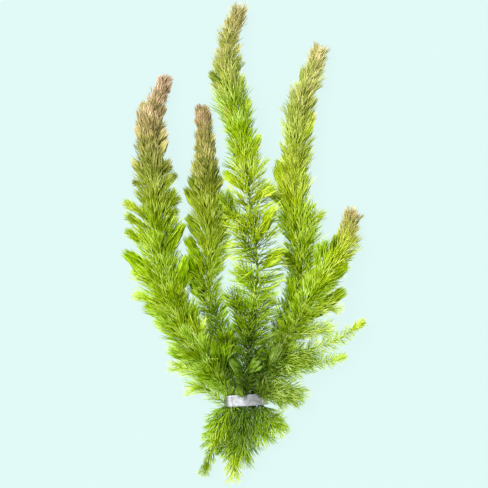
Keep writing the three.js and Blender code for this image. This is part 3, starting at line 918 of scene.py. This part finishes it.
def leaf_material(stem, stops):
    material, tree, surface = new_material(f"{stem}_leaves")
    share = shader_attribute(tree, "leaf_share")
    younger = calculate(tree, "MULTIPLY_ADD", share, POINT_AGE, -OWN_AGE * POINT_AGE)
    # the place on the ramp: the leaf's age, with painted shade near the strip
    age = calculate(tree, "ADD", shader_attribute(tree, "age"), younger)
    tone = add_node(tree, "ShaderNodeGroup", node_tree=leaf_tone)
    tree.links.new(colour_ramp(tree, age, stops), tone.inputs["Colour"])
    tone.inputs["Stalk Colour"].default_value = STALK_COLOURS[stem]
    tone.inputs["Variation"].default_value = 1.0
    tree.links.new(tone.outputs["Colour"], surface.inputs["Base Color"])
    tree.links.new(tone.outputs["Roughness"], surface.inputs["Roughness"])
    add_bumps(tree, surface, tone.outputs["Ribs"], *RIB_BUMPS)
    surface.inputs["Specular IOR Level"].default_value = 0.12
    return material


leaf_materials = {stem: leaf_material(stem, stops) for stem, stops in RAMPS.items()}
print("leaf materials:", len(leaf_materials))

# %% [markdown]
# The five stems
#
# One stem could be copied five times, but no two of them bend alike or are equally full. So each stem is a
# row of stations of its own, from its cut end to its growing tip. The whorls start at the strip and run both
# ways, because below it the leaves are swept towards the cut end.

# %% Routes of the stems
TIE_Y = -101.5  # where the stems pass through the strip
STEMS = {  # x, y and z of the stalk, the reach of the leaves and how full the foliage is
    "stem_1": [
        (-24, -137, 6, 8, 0.74), (-18.5, -122, 7, 10.8, 0.7), (-12.5, -110, 7, 7, 0.7),
        (-9, TIE_Y, 7, 2.8, 0.7), (-14.5, -91, 8.5, 6, 0.7), (-25, -76.5, 11, 11, 0.7),
        (-37.2, -57, 14, 14, 0.7), (-48, -35, 15, 15, 0.7), (-54, -11.5, 15, 15, 0.7),
        (-56.5, 12.5, 15, 15, 0.7), (-58.4, 35, 14, 14, 0.7), (-60.5, 61, 11, 10.3, 0.75),
        (-59.5, 82, 9, 9, 0.75), (-54.2, 97.5, 7, 5.1, 0.82), (-50, 111, 5, 3.3, 0.86),
    ],
    "stem_2": [
        (-14.5, -144, 6, 7.4, 0.76), (-9.5, -124, 7, 8.5, 0.7), (-6, -111, 5.5, 5.5, 0.7),
        (-4, TIE_Y, 4.4, 2.3, 0.7), (-6.5, -91, 6, 5, 0.6), (-12, -72, 9, 9.5, 0.6),
        (-18, -48, 11, 11, 0.5), (-23.5, -26, 12, 10.2, 0.5), (-22, -4, 13, 13, 0.6),
        (-22.5, 19, 13, 13, 0.7), (-24.5, 41.5, 11, 9.5, 0.75), (-25.5, 58, 9, 6.8, 0.75),
        (-26.2, 76, 7, 5, 0.82), (-28.6, 92.6, 5, 3.3, 0.86),
    ],
    "stem_3": [
        (-3, -147, 8, 6, 0.78), (-1.5, -130, 9, 9, 0.72), (0, -112, 9, 6, 0.7), (0.5, TIE_Y, 9, 2.1, 0.7),
        (1.5, -89, 13, 5.5, 0.6), (3, -69, 20, 10, 0.5), (6, -44, 25, 13, 0.4), (8, -23.5, 27, 15.8, 0.2),
        (7.5, -4, 27, 17, 0.12), (4, 17, 25, 17, 0.2), (2.5, 38.5, 22, 14.5, 0.42),
        (-1, 61, 18, 10.3, 0.66), (-5, 80.5, 15, 8.7, 0.75), (-9.5, 99, 13, 10, 0.75),
        (-10.5, 113, 11, 8, 0.75), (-10, 129.5, 9, 6.8, 0.75), (-6, 143, 7, 4.6, 0.83),
        (-1.2, 155, 5, 2.9, 0.87),
    ],
    "stem_4": [
        (16.5, -131.5, 6, 6.4, 0.78), (10, -123, 7, 8.5, 0.7), (7, -111, 5.5, 5.5, 0.7),
        (5.5, TIE_Y, 4.4, 2.4, 0.7), (11.5, -84.5, 7, 6.5, 0.6), (21, -65.5, 9, 9.5, 0.6),
        (31, -44, 10, 10.4, 0.6), (36, -23.5, 11, 9.6, 0.6), (35.8, -4, 12, 11.2, 0.6),
        (33.5, 15.5, 12, 11.5, 0.7), (32, 35, 11, 10.5, 0.75), (33, 54.5, 10, 9.5, 0.75),
        (34.3, 74, 9.5, 8.8, 0.75), (36.7, 91, 9, 8.6, 0.75), (41.4, 104, 8, 7.3, 0.75),
        (45.8, 117, 6.5, 5.3, 0.82), (49.6, 131, 5, 3.2, 0.87),
    ],
    "stem_5": [
        (23.5, -126, 8, 6, 0.74), (18, -117, 8, 7.5, 0.7), (13, -109, 8, 5.5, 0.7),
        (9.5, TIE_Y, 7.4, 2.3, 0.7), (12.5, -87, 15.5, 5, 0.5), (19, -73, 22, 7, 0.4),
        (28.5, -58, 26, 8, 0.3), (37.5, -43, 27, 8.5, 0.4), (45.8, -29.5, 24, 9.6, 0.6),
        (54, -16, 18, 8.9, 0.7), (61.7, -4.5, 13, 7.6, 0.75), (66.3, 6, 9, 6.1, 0.8),
        (68.2, 15.5, 7, 4.6, 0.83), (68.8, 24, 5, 3, 0.87),
    ],
}


def tie_distance(route):
    """How far along its route a stem passes through the strip, in mm."""
    return np.interp(TIE_Y, route.rows[:, 1], route.travel)


stem_routes = {stem: Route(smooth_rows(stations)) for stem, stations in STEMS.items()}
print("stem lengths, mm:", {stem: round(route.length) for stem, route in stem_routes.items()})

# %% [markdown]
# Side shoots
#
# Side shoots come in four forms. A bud is a closed bundle of fans, and a brush is a closed bundle of forked
# leaves. A tuft is open, with whorls of its own, and a sprig is a thin twig whose leaves get shorter towards
# the bud at its end. Each could be a row of stations too, but its form, its fork and its tip are enough to
# bend a curve and to grow the same leaves on it. The longer ones are pieces of their own, because they can be
# told apart and cut off. The shortest stay on their stem.

# %% Forms of the side shoots
FORMS = {  # from fork to tip, the reach as a share of the widest reach, and the fullness
    "bud": ((1, 1), (0.95, 0.95)),
    "brush": ((1, 1), (0.95, 0.95)),
    "tuft": ((0.8, 1.2, 0.7), (0.6, 0.74, 0.8)),
    "sprig": ((2.8, 2.5, 2.1, 1.7, 1.4, 1.1, 0.8), (0.6, 0.6, 0.6, 0.55, 0.5, 0.5, 0.5)),
}
print("forms:", ", ".join(FORMS))

# %% Side shoots of the drawing
# Its form, where it forks off as a share of the stem, its tip, the reach of its leaves, its tint, and a point
# that it bends towards. A shoot without a tint gets one by chance.
Shoot = namedtuple("Shoot", "form at tip reach tint bend", defaults=(None, None))
SHOOTS = {
    "stem_1": [
        ("brush", 0.61, (-80, 28, 17), 5, 0.4), ("brush", 0.54, (-79, 10, 21), 5, 0.3),
        ("brush", 0.44, (-75, -16, 18), 5, 0.4), ("brush", 0.66, (-44.5, 47, 17), 5),
        ("tuft", 0.36, (-43, -25.5, 34), 5, 0.3), ("tuft", 0.27, (-28.5, -47, 32), 5.5, 0.75),
        ("tuft", 0.18, (-51.5, -81.5, 7), 4.5, 0.8, (-36, -75, 10)),
        ("tuft", 0.13, (-38, -100, 5.5), 4.6, 0.65, (-30, -84, 10)),
    ],
    "stem_2": [
        ("bud", 0.66, (-40.5, 38, 14), 7, 0), ("bud", 0.42, (-38, -20, 12), 6.5, 0),
        ("tuft", 0.27, (-11.5, -55, 30), 4.8, 0.1),
    ],
    "stem_3": [
        ("tuft", 0.27, (-12.5, -27.5, 36), 5.5), ("bud", 0.17, (-3.5, -99.5, 19), 6.5, 0.8, (-6, -80, 28)),
        ("bud", 0.48, (20, 26, 38), 6, 0.45),
    ],
    "stem_4": [("tuft", 0.49, (50.5, 26, 16), 5.2), ("brush", 0.55, (11, 40, 10), 4.4)],
    "stem_5": [
        ("tuft", 0.5, (65, -39, 15), 5, 1), ("sprig", 0.36, (78.5, -48.5, 10), 3, 0.9, (58, -68, 20)),
        ("sprig", 0.28, (67, -72, 7), 2.8, 0.9, (46, -78, 18)),
        ("tuft", 0.3, (44, -80.5, 8), 5, 0.6, (34, -70, 20)),
        ("tuft", 0.2, (41, -101, 5.5), 4.8, 1, (29, -88, 17)),
        ("tuft", 0.19, (24.5, -101, 19), 4.4, 0.75, (19, -86, 24)),
    ],
}
TAIL_SHOOTS = {  # below the strip, pointing towards the cut ends
    "stem_1": [("tuft", 0.08, (-27.5, -152, 4.5), 3, 0.25)],
    "stem_3": [("tuft", 0.06, (-5.5, -156.5, 8), 4.6, 0.6, (-10, -134, 11))],
    "stem_5": [("tuft", 0.08, (30, -123.5, 8), 4.6, 0.9)],
}
print("side shoots:", sum(map(len, [*SHOOTS.values(), *TAIL_SHOOTS.values()])))

# %% Short side shoots of the drawing
BUDS = {  # of any form, but too short to be told apart
    "stem_1": [
        ("bud", 0.8, (-66.5, 94, 10), 3.2), ("bud", 0.43, (-80, -3, 13), 5.5),
        ("bud", 0.57, (-64, 27, 33), 4, 0.4), ("bud", 0.5, (-36.5, 16, 20), 5, 0.25),
        ("bud", 0.39, (-36, -4, 21), 5, 0.3), ("brush", 0.62, (-40, 31, 19), 4.8),
        ("brush", 0.4, (-33, -17, 20), 6, 0.2), ("brush", 0.7, (-74, 40, 14), 4.2),
        ("brush", 0.46, (-56, 12, 34), 6, 0.2), ("brush", 0.36, (-62, -22, 30), 6, 0.4),
        ("brush", 0.28, (-57, -44, 28), 6, 0.2), ("brush", 0.24, (-41, -50, 31), 7, 0.5),
        ("brush", 0.19, (-19, -62, 28), 6, 0.4), ("brush", 0.34, (-47, -31, 33), 7, 0.2),
        ("brush", 0.57, (-79, 20, 15), 5, 0.2), ("brush", 0.38, (-74.5, -31, 15), 5, 0.6),
        ("brush", 0.31, (-68, -37, 13), 5.5, 0.4), ("brush", 0.27, (-60.5, -48, 12), 5, 0.7),
        ("brush", 0.17, (-52.5, -65, 12), 5, 0.4), ("brush", 0.71, (-45, 51, 13), 4.6, 0.3),
        ("brush", 0.57, (-41.5, 24, 15), 5, 0.2), ("brush", 0.68, (-42, 46, 12), 4.6, 0.2),
        ("brush", 0.6, (-42.5, 38, 16), 5, 0.1), ("brush", 0.32, (-31, -38, 25), 6, 0.2),
        ("brush", 0.2, (-28.5, -55, 34), 7, 0.75), ("brush", 0.16, (-10, -61, 34), 6.5, 0.5),
    ],
    "stem_2": [
        ("bud", 0.5, (-38.5, 7, 20), 6, 0), ("bud", 0.57, (-7.5, 27, 14), 3.6),
        ("bud", 0.58, (-39.5, 20, 15), 6.5, 0), ("bud", 0.68, (-37, 45, 14), 4.4, 0),
        ("bud", 0.44, (-40.5, -6, 16), 6, 0),
    ],
    "stem_3": [
        ("bud", 0.78, (-24, 112, 15), 3.4), ("bud", 0.72, (4.4, 95, 15), 3.2),
        ("bud", 0.64, (10.5, 73, 19), 3.6), ("bud", 0.18, (-11, -73, 24), 3.6),
        ("bud", 0.2, (10.5, -74.5, 29), 7, 0.5, (-4, -82, 28)),
        ("tuft", 0.44, (-14.5, 35, 33), 4.2, 0, (-2, 8, 36)), ("bud", 0.56, (21, 37, 32), 6, 0.6),
        ("bud", 0.47, (9, 8, 38), 4.4, 0), ("bud", 0.42, (25, -8, 34), 4.6, 0.6),
        ("bud", 0.43, (28.5, -3, 31), 4.6, 0), ("bud", 0.5, (-9, 21, 36), 4.4, 0.3),
        ("bud", 0.58, (-15.5, 47, 22), 4.4, 0.2), ("tuft", 0.37, (-7.5, -10.5, 36), 5, 0.5),
        ("tuft", 0.33, (9, -31, 38), 5.4, 0.7), ("tuft", 0.48, (5, 25, 37), 4.4, 0.4),
    ],
    "stem_4": [
        ("bud", 0.82, (38.5, 115, 10), 3), ("bud", 0.71, (47, 86, 12), 3.2),
        ("bud", 0.57, (20, 55, 13), 3.4), ("bud", 0.34, (29, -20, 19), 3.4),
        ("bud", 0.43, (24, -3, 21), 4, 0.1),
    ],
    "stem_5": [
        ("bud", 0.74, (58.5, 8, 17), 3.6, 0), ("bud", 0.44, (68.5, -27.5, 16), 3.2, 0.3),
        ("bud", 0.62, (69, -12, 20), 3.4), ("tuft", 0.4, (61, -55, 17), 4.4, 0.9),
        ("brush", 0.66, (52, 6, 18), 6, 0.2), ("brush", 0.61, (47.5, 3, 18), 6, 0.4),
        ("bud", 0.24, (23, -63, 33), 3.6, 0.8), ("tuft", 0.18, (38, -106, 9), 5, 0.75, (28, -93, 20)),
        ("tuft", 0.17, (27, -108, 14), 5, 0.7, (20, -92, 22)),
        ("tuft", 0.24, (50, -70, 13), 4.6, 0.45, (36, -74, 20)),
    ],
}
print("short side shoots:", sum(map(len, BUDS.values())))

# %% Routes of the side shoots
BEZIER_STEPS = 24
FORK_RADIUS = 2.4  # a side shoot that is a piece starts this far from the middle of the stalk, in mm
SHOOT_LEAD = 0.4  # it first follows its stem, for this share of the way to its tip
SHOOT_REACH = 1.3  # leaves reach a little further than the tables say


def bezier_rows(start, control, end, reaches, fullnesses):
    """A curve that leaves `start` towards `control` and ends in `end`."""
    t = np.linspace(0, 1, BEZIER_STEPS)[:, None]
    places = start * (1 - t) ** 2 + control * 2 * t * (1 - t) + end * t**2
    spread = [np.interp(t[:, 0], np.linspace(0, 1, len(values)), values) for values in (reaches, fullnesses)]
    return np.column_stack([places, *spread])


def shoot_route(stem, shoot, heading, fork):
    """Where a side shoot runs. It leaves the stalk sideways and then bends to its tip."""
    route = stem_routes[stem]
    shares, fullnesses = FORMS[shoot.form]
    end = np.array(shoot.tip, dtype=float)
    on_stem = route.place(shoot.at * route.length)
    along = route.along(shoot.at * route.length)
    sideways = end - on_stem - along * np.dot(end - on_stem, along)
    sideways /= np.linalg.norm(sideways)
    start = on_stem + sideways * fork * FORK_RADIUS
    lead = along * SHOOT_LEAD * heading * np.linalg.norm(end - start)
    control = np.array(shoot.bend, dtype=float) if shoot.bend else start + lead
    reach = shoot.reach * SHOOT_REACH
    rows = bezier_rows(start, control, end, [share * reach for share in shares], fullnesses)
    if fork:
        rows = np.vstack([[*on_stem, *rows[0][3:]], rows])
    return Route(rows)


route = shoot_route("stem_5", Shoot(*SHOOTS["stem_5"][1]), 1, 1)
print("the long sprig of stem 5 is", round(route.length), "mm long")

# %% Whorls of the side shoots
CLOSED_WIDTH = {"bud": 0.34, "brush": 0.3, "sprig": 0.3}  # half its width, as a share of its reach
CLOSED_PART = {"bud": 0.85, "brush": 0.7}  # of the length of a closed shoot
END_BUD = 15.0  # how long the closed end of a sprig is, in mm
FIRST_WHORL = (2.0, 0.25)  # where an open shoot has its first whorl, in mm, or as a share if that is less


def shoot_chain(route, shoot, facts, chance):
    """The whorls of a side shoot. A bud or brush is closed, and a sprig ends in a closed bud."""
    if shoot.form in CLOSED_PART:
        start = route.length * (1 - CLOSED_PART[shoot.form])
        whorls = place_bundle(route, start, shoot.reach * CLOSED_WIDTH[shoot.form], facts, chance)
    else:
        start = min(FIRST_WHORL[0], route.length * FIRST_WHORL[1])
        whorls = place_whorls(route, start, 1, facts, chance)
    if shoot.form == "sprig":
        half_width = shoot.reach * CLOSED_WIDTH["sprig"]
        whorls += place_bundle(route, route.length - END_BUD, half_width, facts, chance)
    return [whorls[0]._replace(place=route.place(0), leaves=0), *whorls]


print("closed forms:", ", ".join(CLOSED_PART))

# %% Ages, painted shade and habits of the side shoots
SHOOT_FACTS = {"leaves": 8, "spacing": 2, "loose": 1, "inner": 0.95, "girth": 0.4}
SHOOT_FACTS |= {"fans": 5, "fan_every": NO_FANS}
FAN_WIDTHS = {"bud": 0.9, "sprig": 1.4}  # a brush or tuft has no fans
AGE_OF_SHOOT = {  # a share of the age and painted shade of the stem beside it, and what the fork and the tip add to that
    "bud": (1.0, -0.05, 0.15), "brush": (1.0, -0.1, 0.1),
    "tuft": (0.5, 0.15, 0.42), "sprig": (0.5, 0.15, 0.55),
}
TAIL_SHADE_STOPS = {  # at the cut end, and halfway from there to the strip: painted shade, darkest at the crowded strip
    "stem_1": (0.55, 0.2), "stem_2": (0.5, 0), "stem_3": (0.5, 0.1),
    "stem_4": (0.6, 0.2), "stem_5": (0.6, 0.4),
}


def ages_and_shade_along(stem):
    """The darkest leaves are at the strip: painted shade of the crowded core. Both ends of a stem are
    lighter.
    """
    route = stem_routes[stem]
    tie = tie_distance(route) / route.length
    return (0, tie / 2, tie, 1), (*TAIL_SHADE_STOPS[stem], 0, 1)


def shoot_facts(stem, shoot, chance):
    """What the whorls of a side shoot have in common."""
    share, low, high = AGE_OF_SHOOT[shoot.form]
    # the shoot starts from its stem's place on the ramp: age, with painted shade near the strip
    age = share * np.interp(shoot.at, *ages_and_shade_along(stem))
    return SHOOT_FACTS | {
        "fan_width": FAN_WIDTHS.get(shoot.form, 0),
        "ages_and_shade": ((0, 1), (age + low, age + high)),
        "limb_tint": chance.uniform(0, 1) if shoot.tint is None else shoot.tint,
    }


print("ages at the strip and at the tip of stem 1:", ages_and_shade_along("stem_1")[1][2:])

# %% Grow the side shoots
SHOOT_SEEDS = (5, 11)  # the first seed, and the step to the next
triangles = {}
for stem in STEMS:
    shoots = [(Shoot(*row), 1) for row in SHOOTS[stem]]
    shoots += [(Shoot(*row), -1) for row in TAIL_SHOOTS.get(stem, [])]
    for number, (shoot, heading) in enumerate(shoots, 1):
        node = f"{stem}_shoot_{number}"
        chance = random.Random(SHOOT_SEEDS[0] + SHOOT_SEEDS[1] * len(triangles))
        route = shoot_route(stem, shoot, heading, 1)
        chain = shoot_chain(route, shoot, shoot_facts(stem, shoot, chance), chance)
        triangles[node] = grow_piece(node, [chain], leaf_materials[stem], len(triangles) + 1)
print("triangles in the side shoots:", sum(triangles.values()))

# %% Grow the stems
STEM_FACTS = {"leaves": 12, "fans": 5, "spacing": 1, "loose": 1, "girth": 0.6, "limb_tint": MIDDLE_TINT}
HABITS = {  # how each stem differs: the reach of its forked leaves, how often fans come, and their breadth
    "stem_1": {"inner": 0.84, "fan_every": 2, "fan_width": 2.0, "limb_tint": 0.48},
    "stem_2": {"inner": 0.86, "fan_every": 2, "fan_width": 1.8},
    "stem_3": {"inner": 1.0, "fan_every": 5, "fan_width": 1.2, "girth": 0.45},
    "stem_4": {"inner": 0.94, "fan_every": 5, "fan_width": 1.2},
    "stem_5": {"inner": 1.0, "fan_every": 8, "fan_width": 1.0},
}
TAIL_HABITS = {"fan_every": NO_FANS, "leaves": 10, "spacing": 1.3, "loose": 2}  # below the strip
SEEDS = {"stem_1": 150, "stem_2": 101, "stem_3": 102, "stem_4": 103, "stem_5": 104}  # a seed for each stem
FIRST_TREE_SEED = 50
TIE_GAP = 0.5  # from the middle of the strip to the first whorls, in mm


def stem_chains(stem, chance):
    route = stem_routes[stem]
    tie = tie_distance(route)
    facts = STEM_FACTS | HABITS[stem] | {"ages_and_shade": ages_and_shade_along(stem)}
    below = place_whorls(route, tie - TIE_GAP, -1, facts | TAIL_HABITS, chance)
    above = place_whorls(route, tie + TIE_GAP, 1, facts, chance)
    chains = [[*below[::-1], *above]]
    for row in BUDS[stem]:
        bud = Shoot(*row)
        chains.append(shoot_chain(shoot_route(stem, bud, 1, 0), bud, shoot_facts(stem, bud, chance), chance))
    return chains


for number, stem in enumerate(STEMS):
    chance = random.Random(SEEDS[stem])
    chains = stem_chains(stem, chance)
    triangles[stem] = grow_piece(stem, chains, leaf_materials[stem], FIRST_TREE_SEED + number)
print("triangles in the stems:", {stem: triangles[stem] for stem in STEMS})

# %% Clear the shelf
for leaf in list(leaf_shelf.objects):
    bpy.data.objects.remove(leaf)
bpy.data.collections.remove(leaf_shelf)
print("triangles in the foliage:", sum(triangles.values()))

# %% [markdown]
# The strip
#
# The bunch is held by a strip of soft grey metal, wrapped once round the stems by hand and overlapping
# underneath. A swept rectangle would look machined, so the band is a grid with a bowed top and small dents,
# given its thickness afterwards.

# %% Wrap the strip
STRIP = {  # in mm
    "width": 7.5, "outer_width": 28.6, "outer_height": 12.0,
    "thickness": 0.8, "lap_gap": 0.35, "lap": 7.0,
}
CROWN = 2.0  # the top is bowed, so it catches the light on one side
UNDERSIDE = 4.0  # underneath, it is drawn flat from its middle to here
FLAT_STEPS = 6
TOP_STEPS = 16
BEND_STEPS = 28


def strip_line():
    """The middle of the band's wall, seen from its edge: once round, with its two ends passing underneath."""
    half = STRIP["thickness"] / 2
    inner = half + STRIP["thickness"] + STRIP["lap_gap"]
    top = STRIP["outer_height"] - half
    line = [(x, inner) for x in np.linspace(-STRIP["lap"] / 2, UNDERSIDE, FLAT_STEPS)]
    for side, low, first in ((1, inner, -math.pi / 2), (-1, half, math.pi / 2)):
        radius = (top - CROWN - low) / 2
        centre = side * (STRIP["outer_width"] / 2 - half - radius)
        for angle in first + np.linspace(0, math.pi, BEND_STEPS):
            line.append((centre + radius * math.cos(angle), low + radius + radius * math.sin(angle)))
        if side == 1:
            across = np.linspace(centre, -centre, TOP_STEPS)[1:-1]
            line += [(x, top - CROWN * (x / centre) ** 2) for x in across]
    return line + [(x, half) for x in np.linspace(-UNDERSIDE, STRIP["lap"] / 2, FLAT_STEPS)]


print("points round the strip:", len(strip_line()))

# %% Dent the strip
STRIP_TURN = math.radians(4)
ROWS_ACROSS = 9
DENT_DEPTH = 0.16
DENT_SCALES = (0.2, 0.25, 0.3)  # dents to a mm round the strip, along the bunch and up


def strip_piece():
    mesh = bmesh.new()
    rows = []
    for x, z in strip_line():
        row = []
        for share in np.linspace(-0.5, 0.5, ROWS_ACROSS):
            along = share * STRIP["width"]
            dent = DENT_DEPTH * min(0, noise.noise(Vector((x, along, z)) * Vector(DENT_SCALES)))
            raised = z + (dent if z > STRIP["outer_height"] / 2 else 0)
            row.append(mesh.verts.new((x, along, raised)))
        rows.append(row)
    for low, high in zip(rows, rows[1:]):
        for column in range(ROWS_ACROSS - 1):
            mesh.faces.new((low[column], low[column + 1], high[column + 1], high[column]))
    mesh.transform(Matrix.Rotation(STRIP_TURN, 4, "Z"))
    for vertex in mesh.verts:
        vertex.co = Vector(drawing_zero) + (vertex.co + Vector((*STRIP_CENTRE, 0))) * MM
    data = bpy.data.meshes.new("weight_strip_band")
    mesh.to_mesh(data)
    mesh.free()
    return put_in_scene("weight_strip_band", data)


strip = strip_piece()
print("points of the strip:", len(strip.data.vertices))

# %% Give the strip its thickness
EDGE_ROUND = 0.18 * MM
wall = strip.modifiers.new("wall", "SOLIDIFY")
wall.thickness = STRIP["thickness"] * MM
wall.offset = 0
edges = strip.modifiers.new("edges", "BEVEL")
edges.width = EDGE_ROUND
edges.segments = 2
edges.limit_method = "ANGLE"
strip_mesh = make_plain(strip)
strip_mesh.shade_smooth()
print("strip faces:", len(strip_mesh.polygons))

# %% [markdown]
# The metal
#
# Soft metal goes dull and cloudy, and its skin is never even. A picture of metal would need a seam somewhere
# round the strip, and noise in space has none. One noise makes the clouds of its colour, and a finer one
# drives both how rough it is and its small bumps. A light sweep of the lamp still shows on the left of the
# bowed top.

# %% Dull soft metal
CLOUD_SCALE = 420.0  # clouds about 2 mm across
CLOUDS = [(0.3, linear(142, 145, 148)), (0.7, linear(184, 186, 190))]
SKIN_SCALE = 2400.0  # and a skin with bumps of less than half a millimetre
SKIN_ROUGHNESS = (0.42, 0.66)
SKIN_BUMPS = (0.25, 0.1 * MM)  # strength and depth


def metal_material():
    material, tree, surface = new_material("soft_metal")
    clouds = unevenness(tree, CLOUD_SCALE, 3.0)
    skin = unevenness(tree, SKIN_SCALE, 3.0)
    tree.links.new(colour_ramp(tree, clouds, CLOUDS), surface.inputs["Base Color"])
    tree.links.new(between(tree, skin, *SKIN_ROUGHNESS), surface.inputs["Roughness"])
    add_bumps(tree, surface, skin, *SKIN_BUMPS)
    surface.inputs["Metallic"].default_value = 0.85
    return material


strip_mesh.materials.append(metal_material())
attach(strip, "root")
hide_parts("weight_strip")
print("strip box, mm:", [round(value / MM, 1) for value in strip.dimensions])

# %% [markdown]
# Finish
#
# The box of the finished model is printed next to the box of the frame. The leaves may stand a few
# millimetres proud of the solids, and no more.

# %% Write the sizes and finish
boxes = {"cad": cad_box, "visual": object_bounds()}
for name, (low, high) in boxes.items():
    print(name, "box, mm:", [round(value / MM, 1) for value in (*low, *high)])
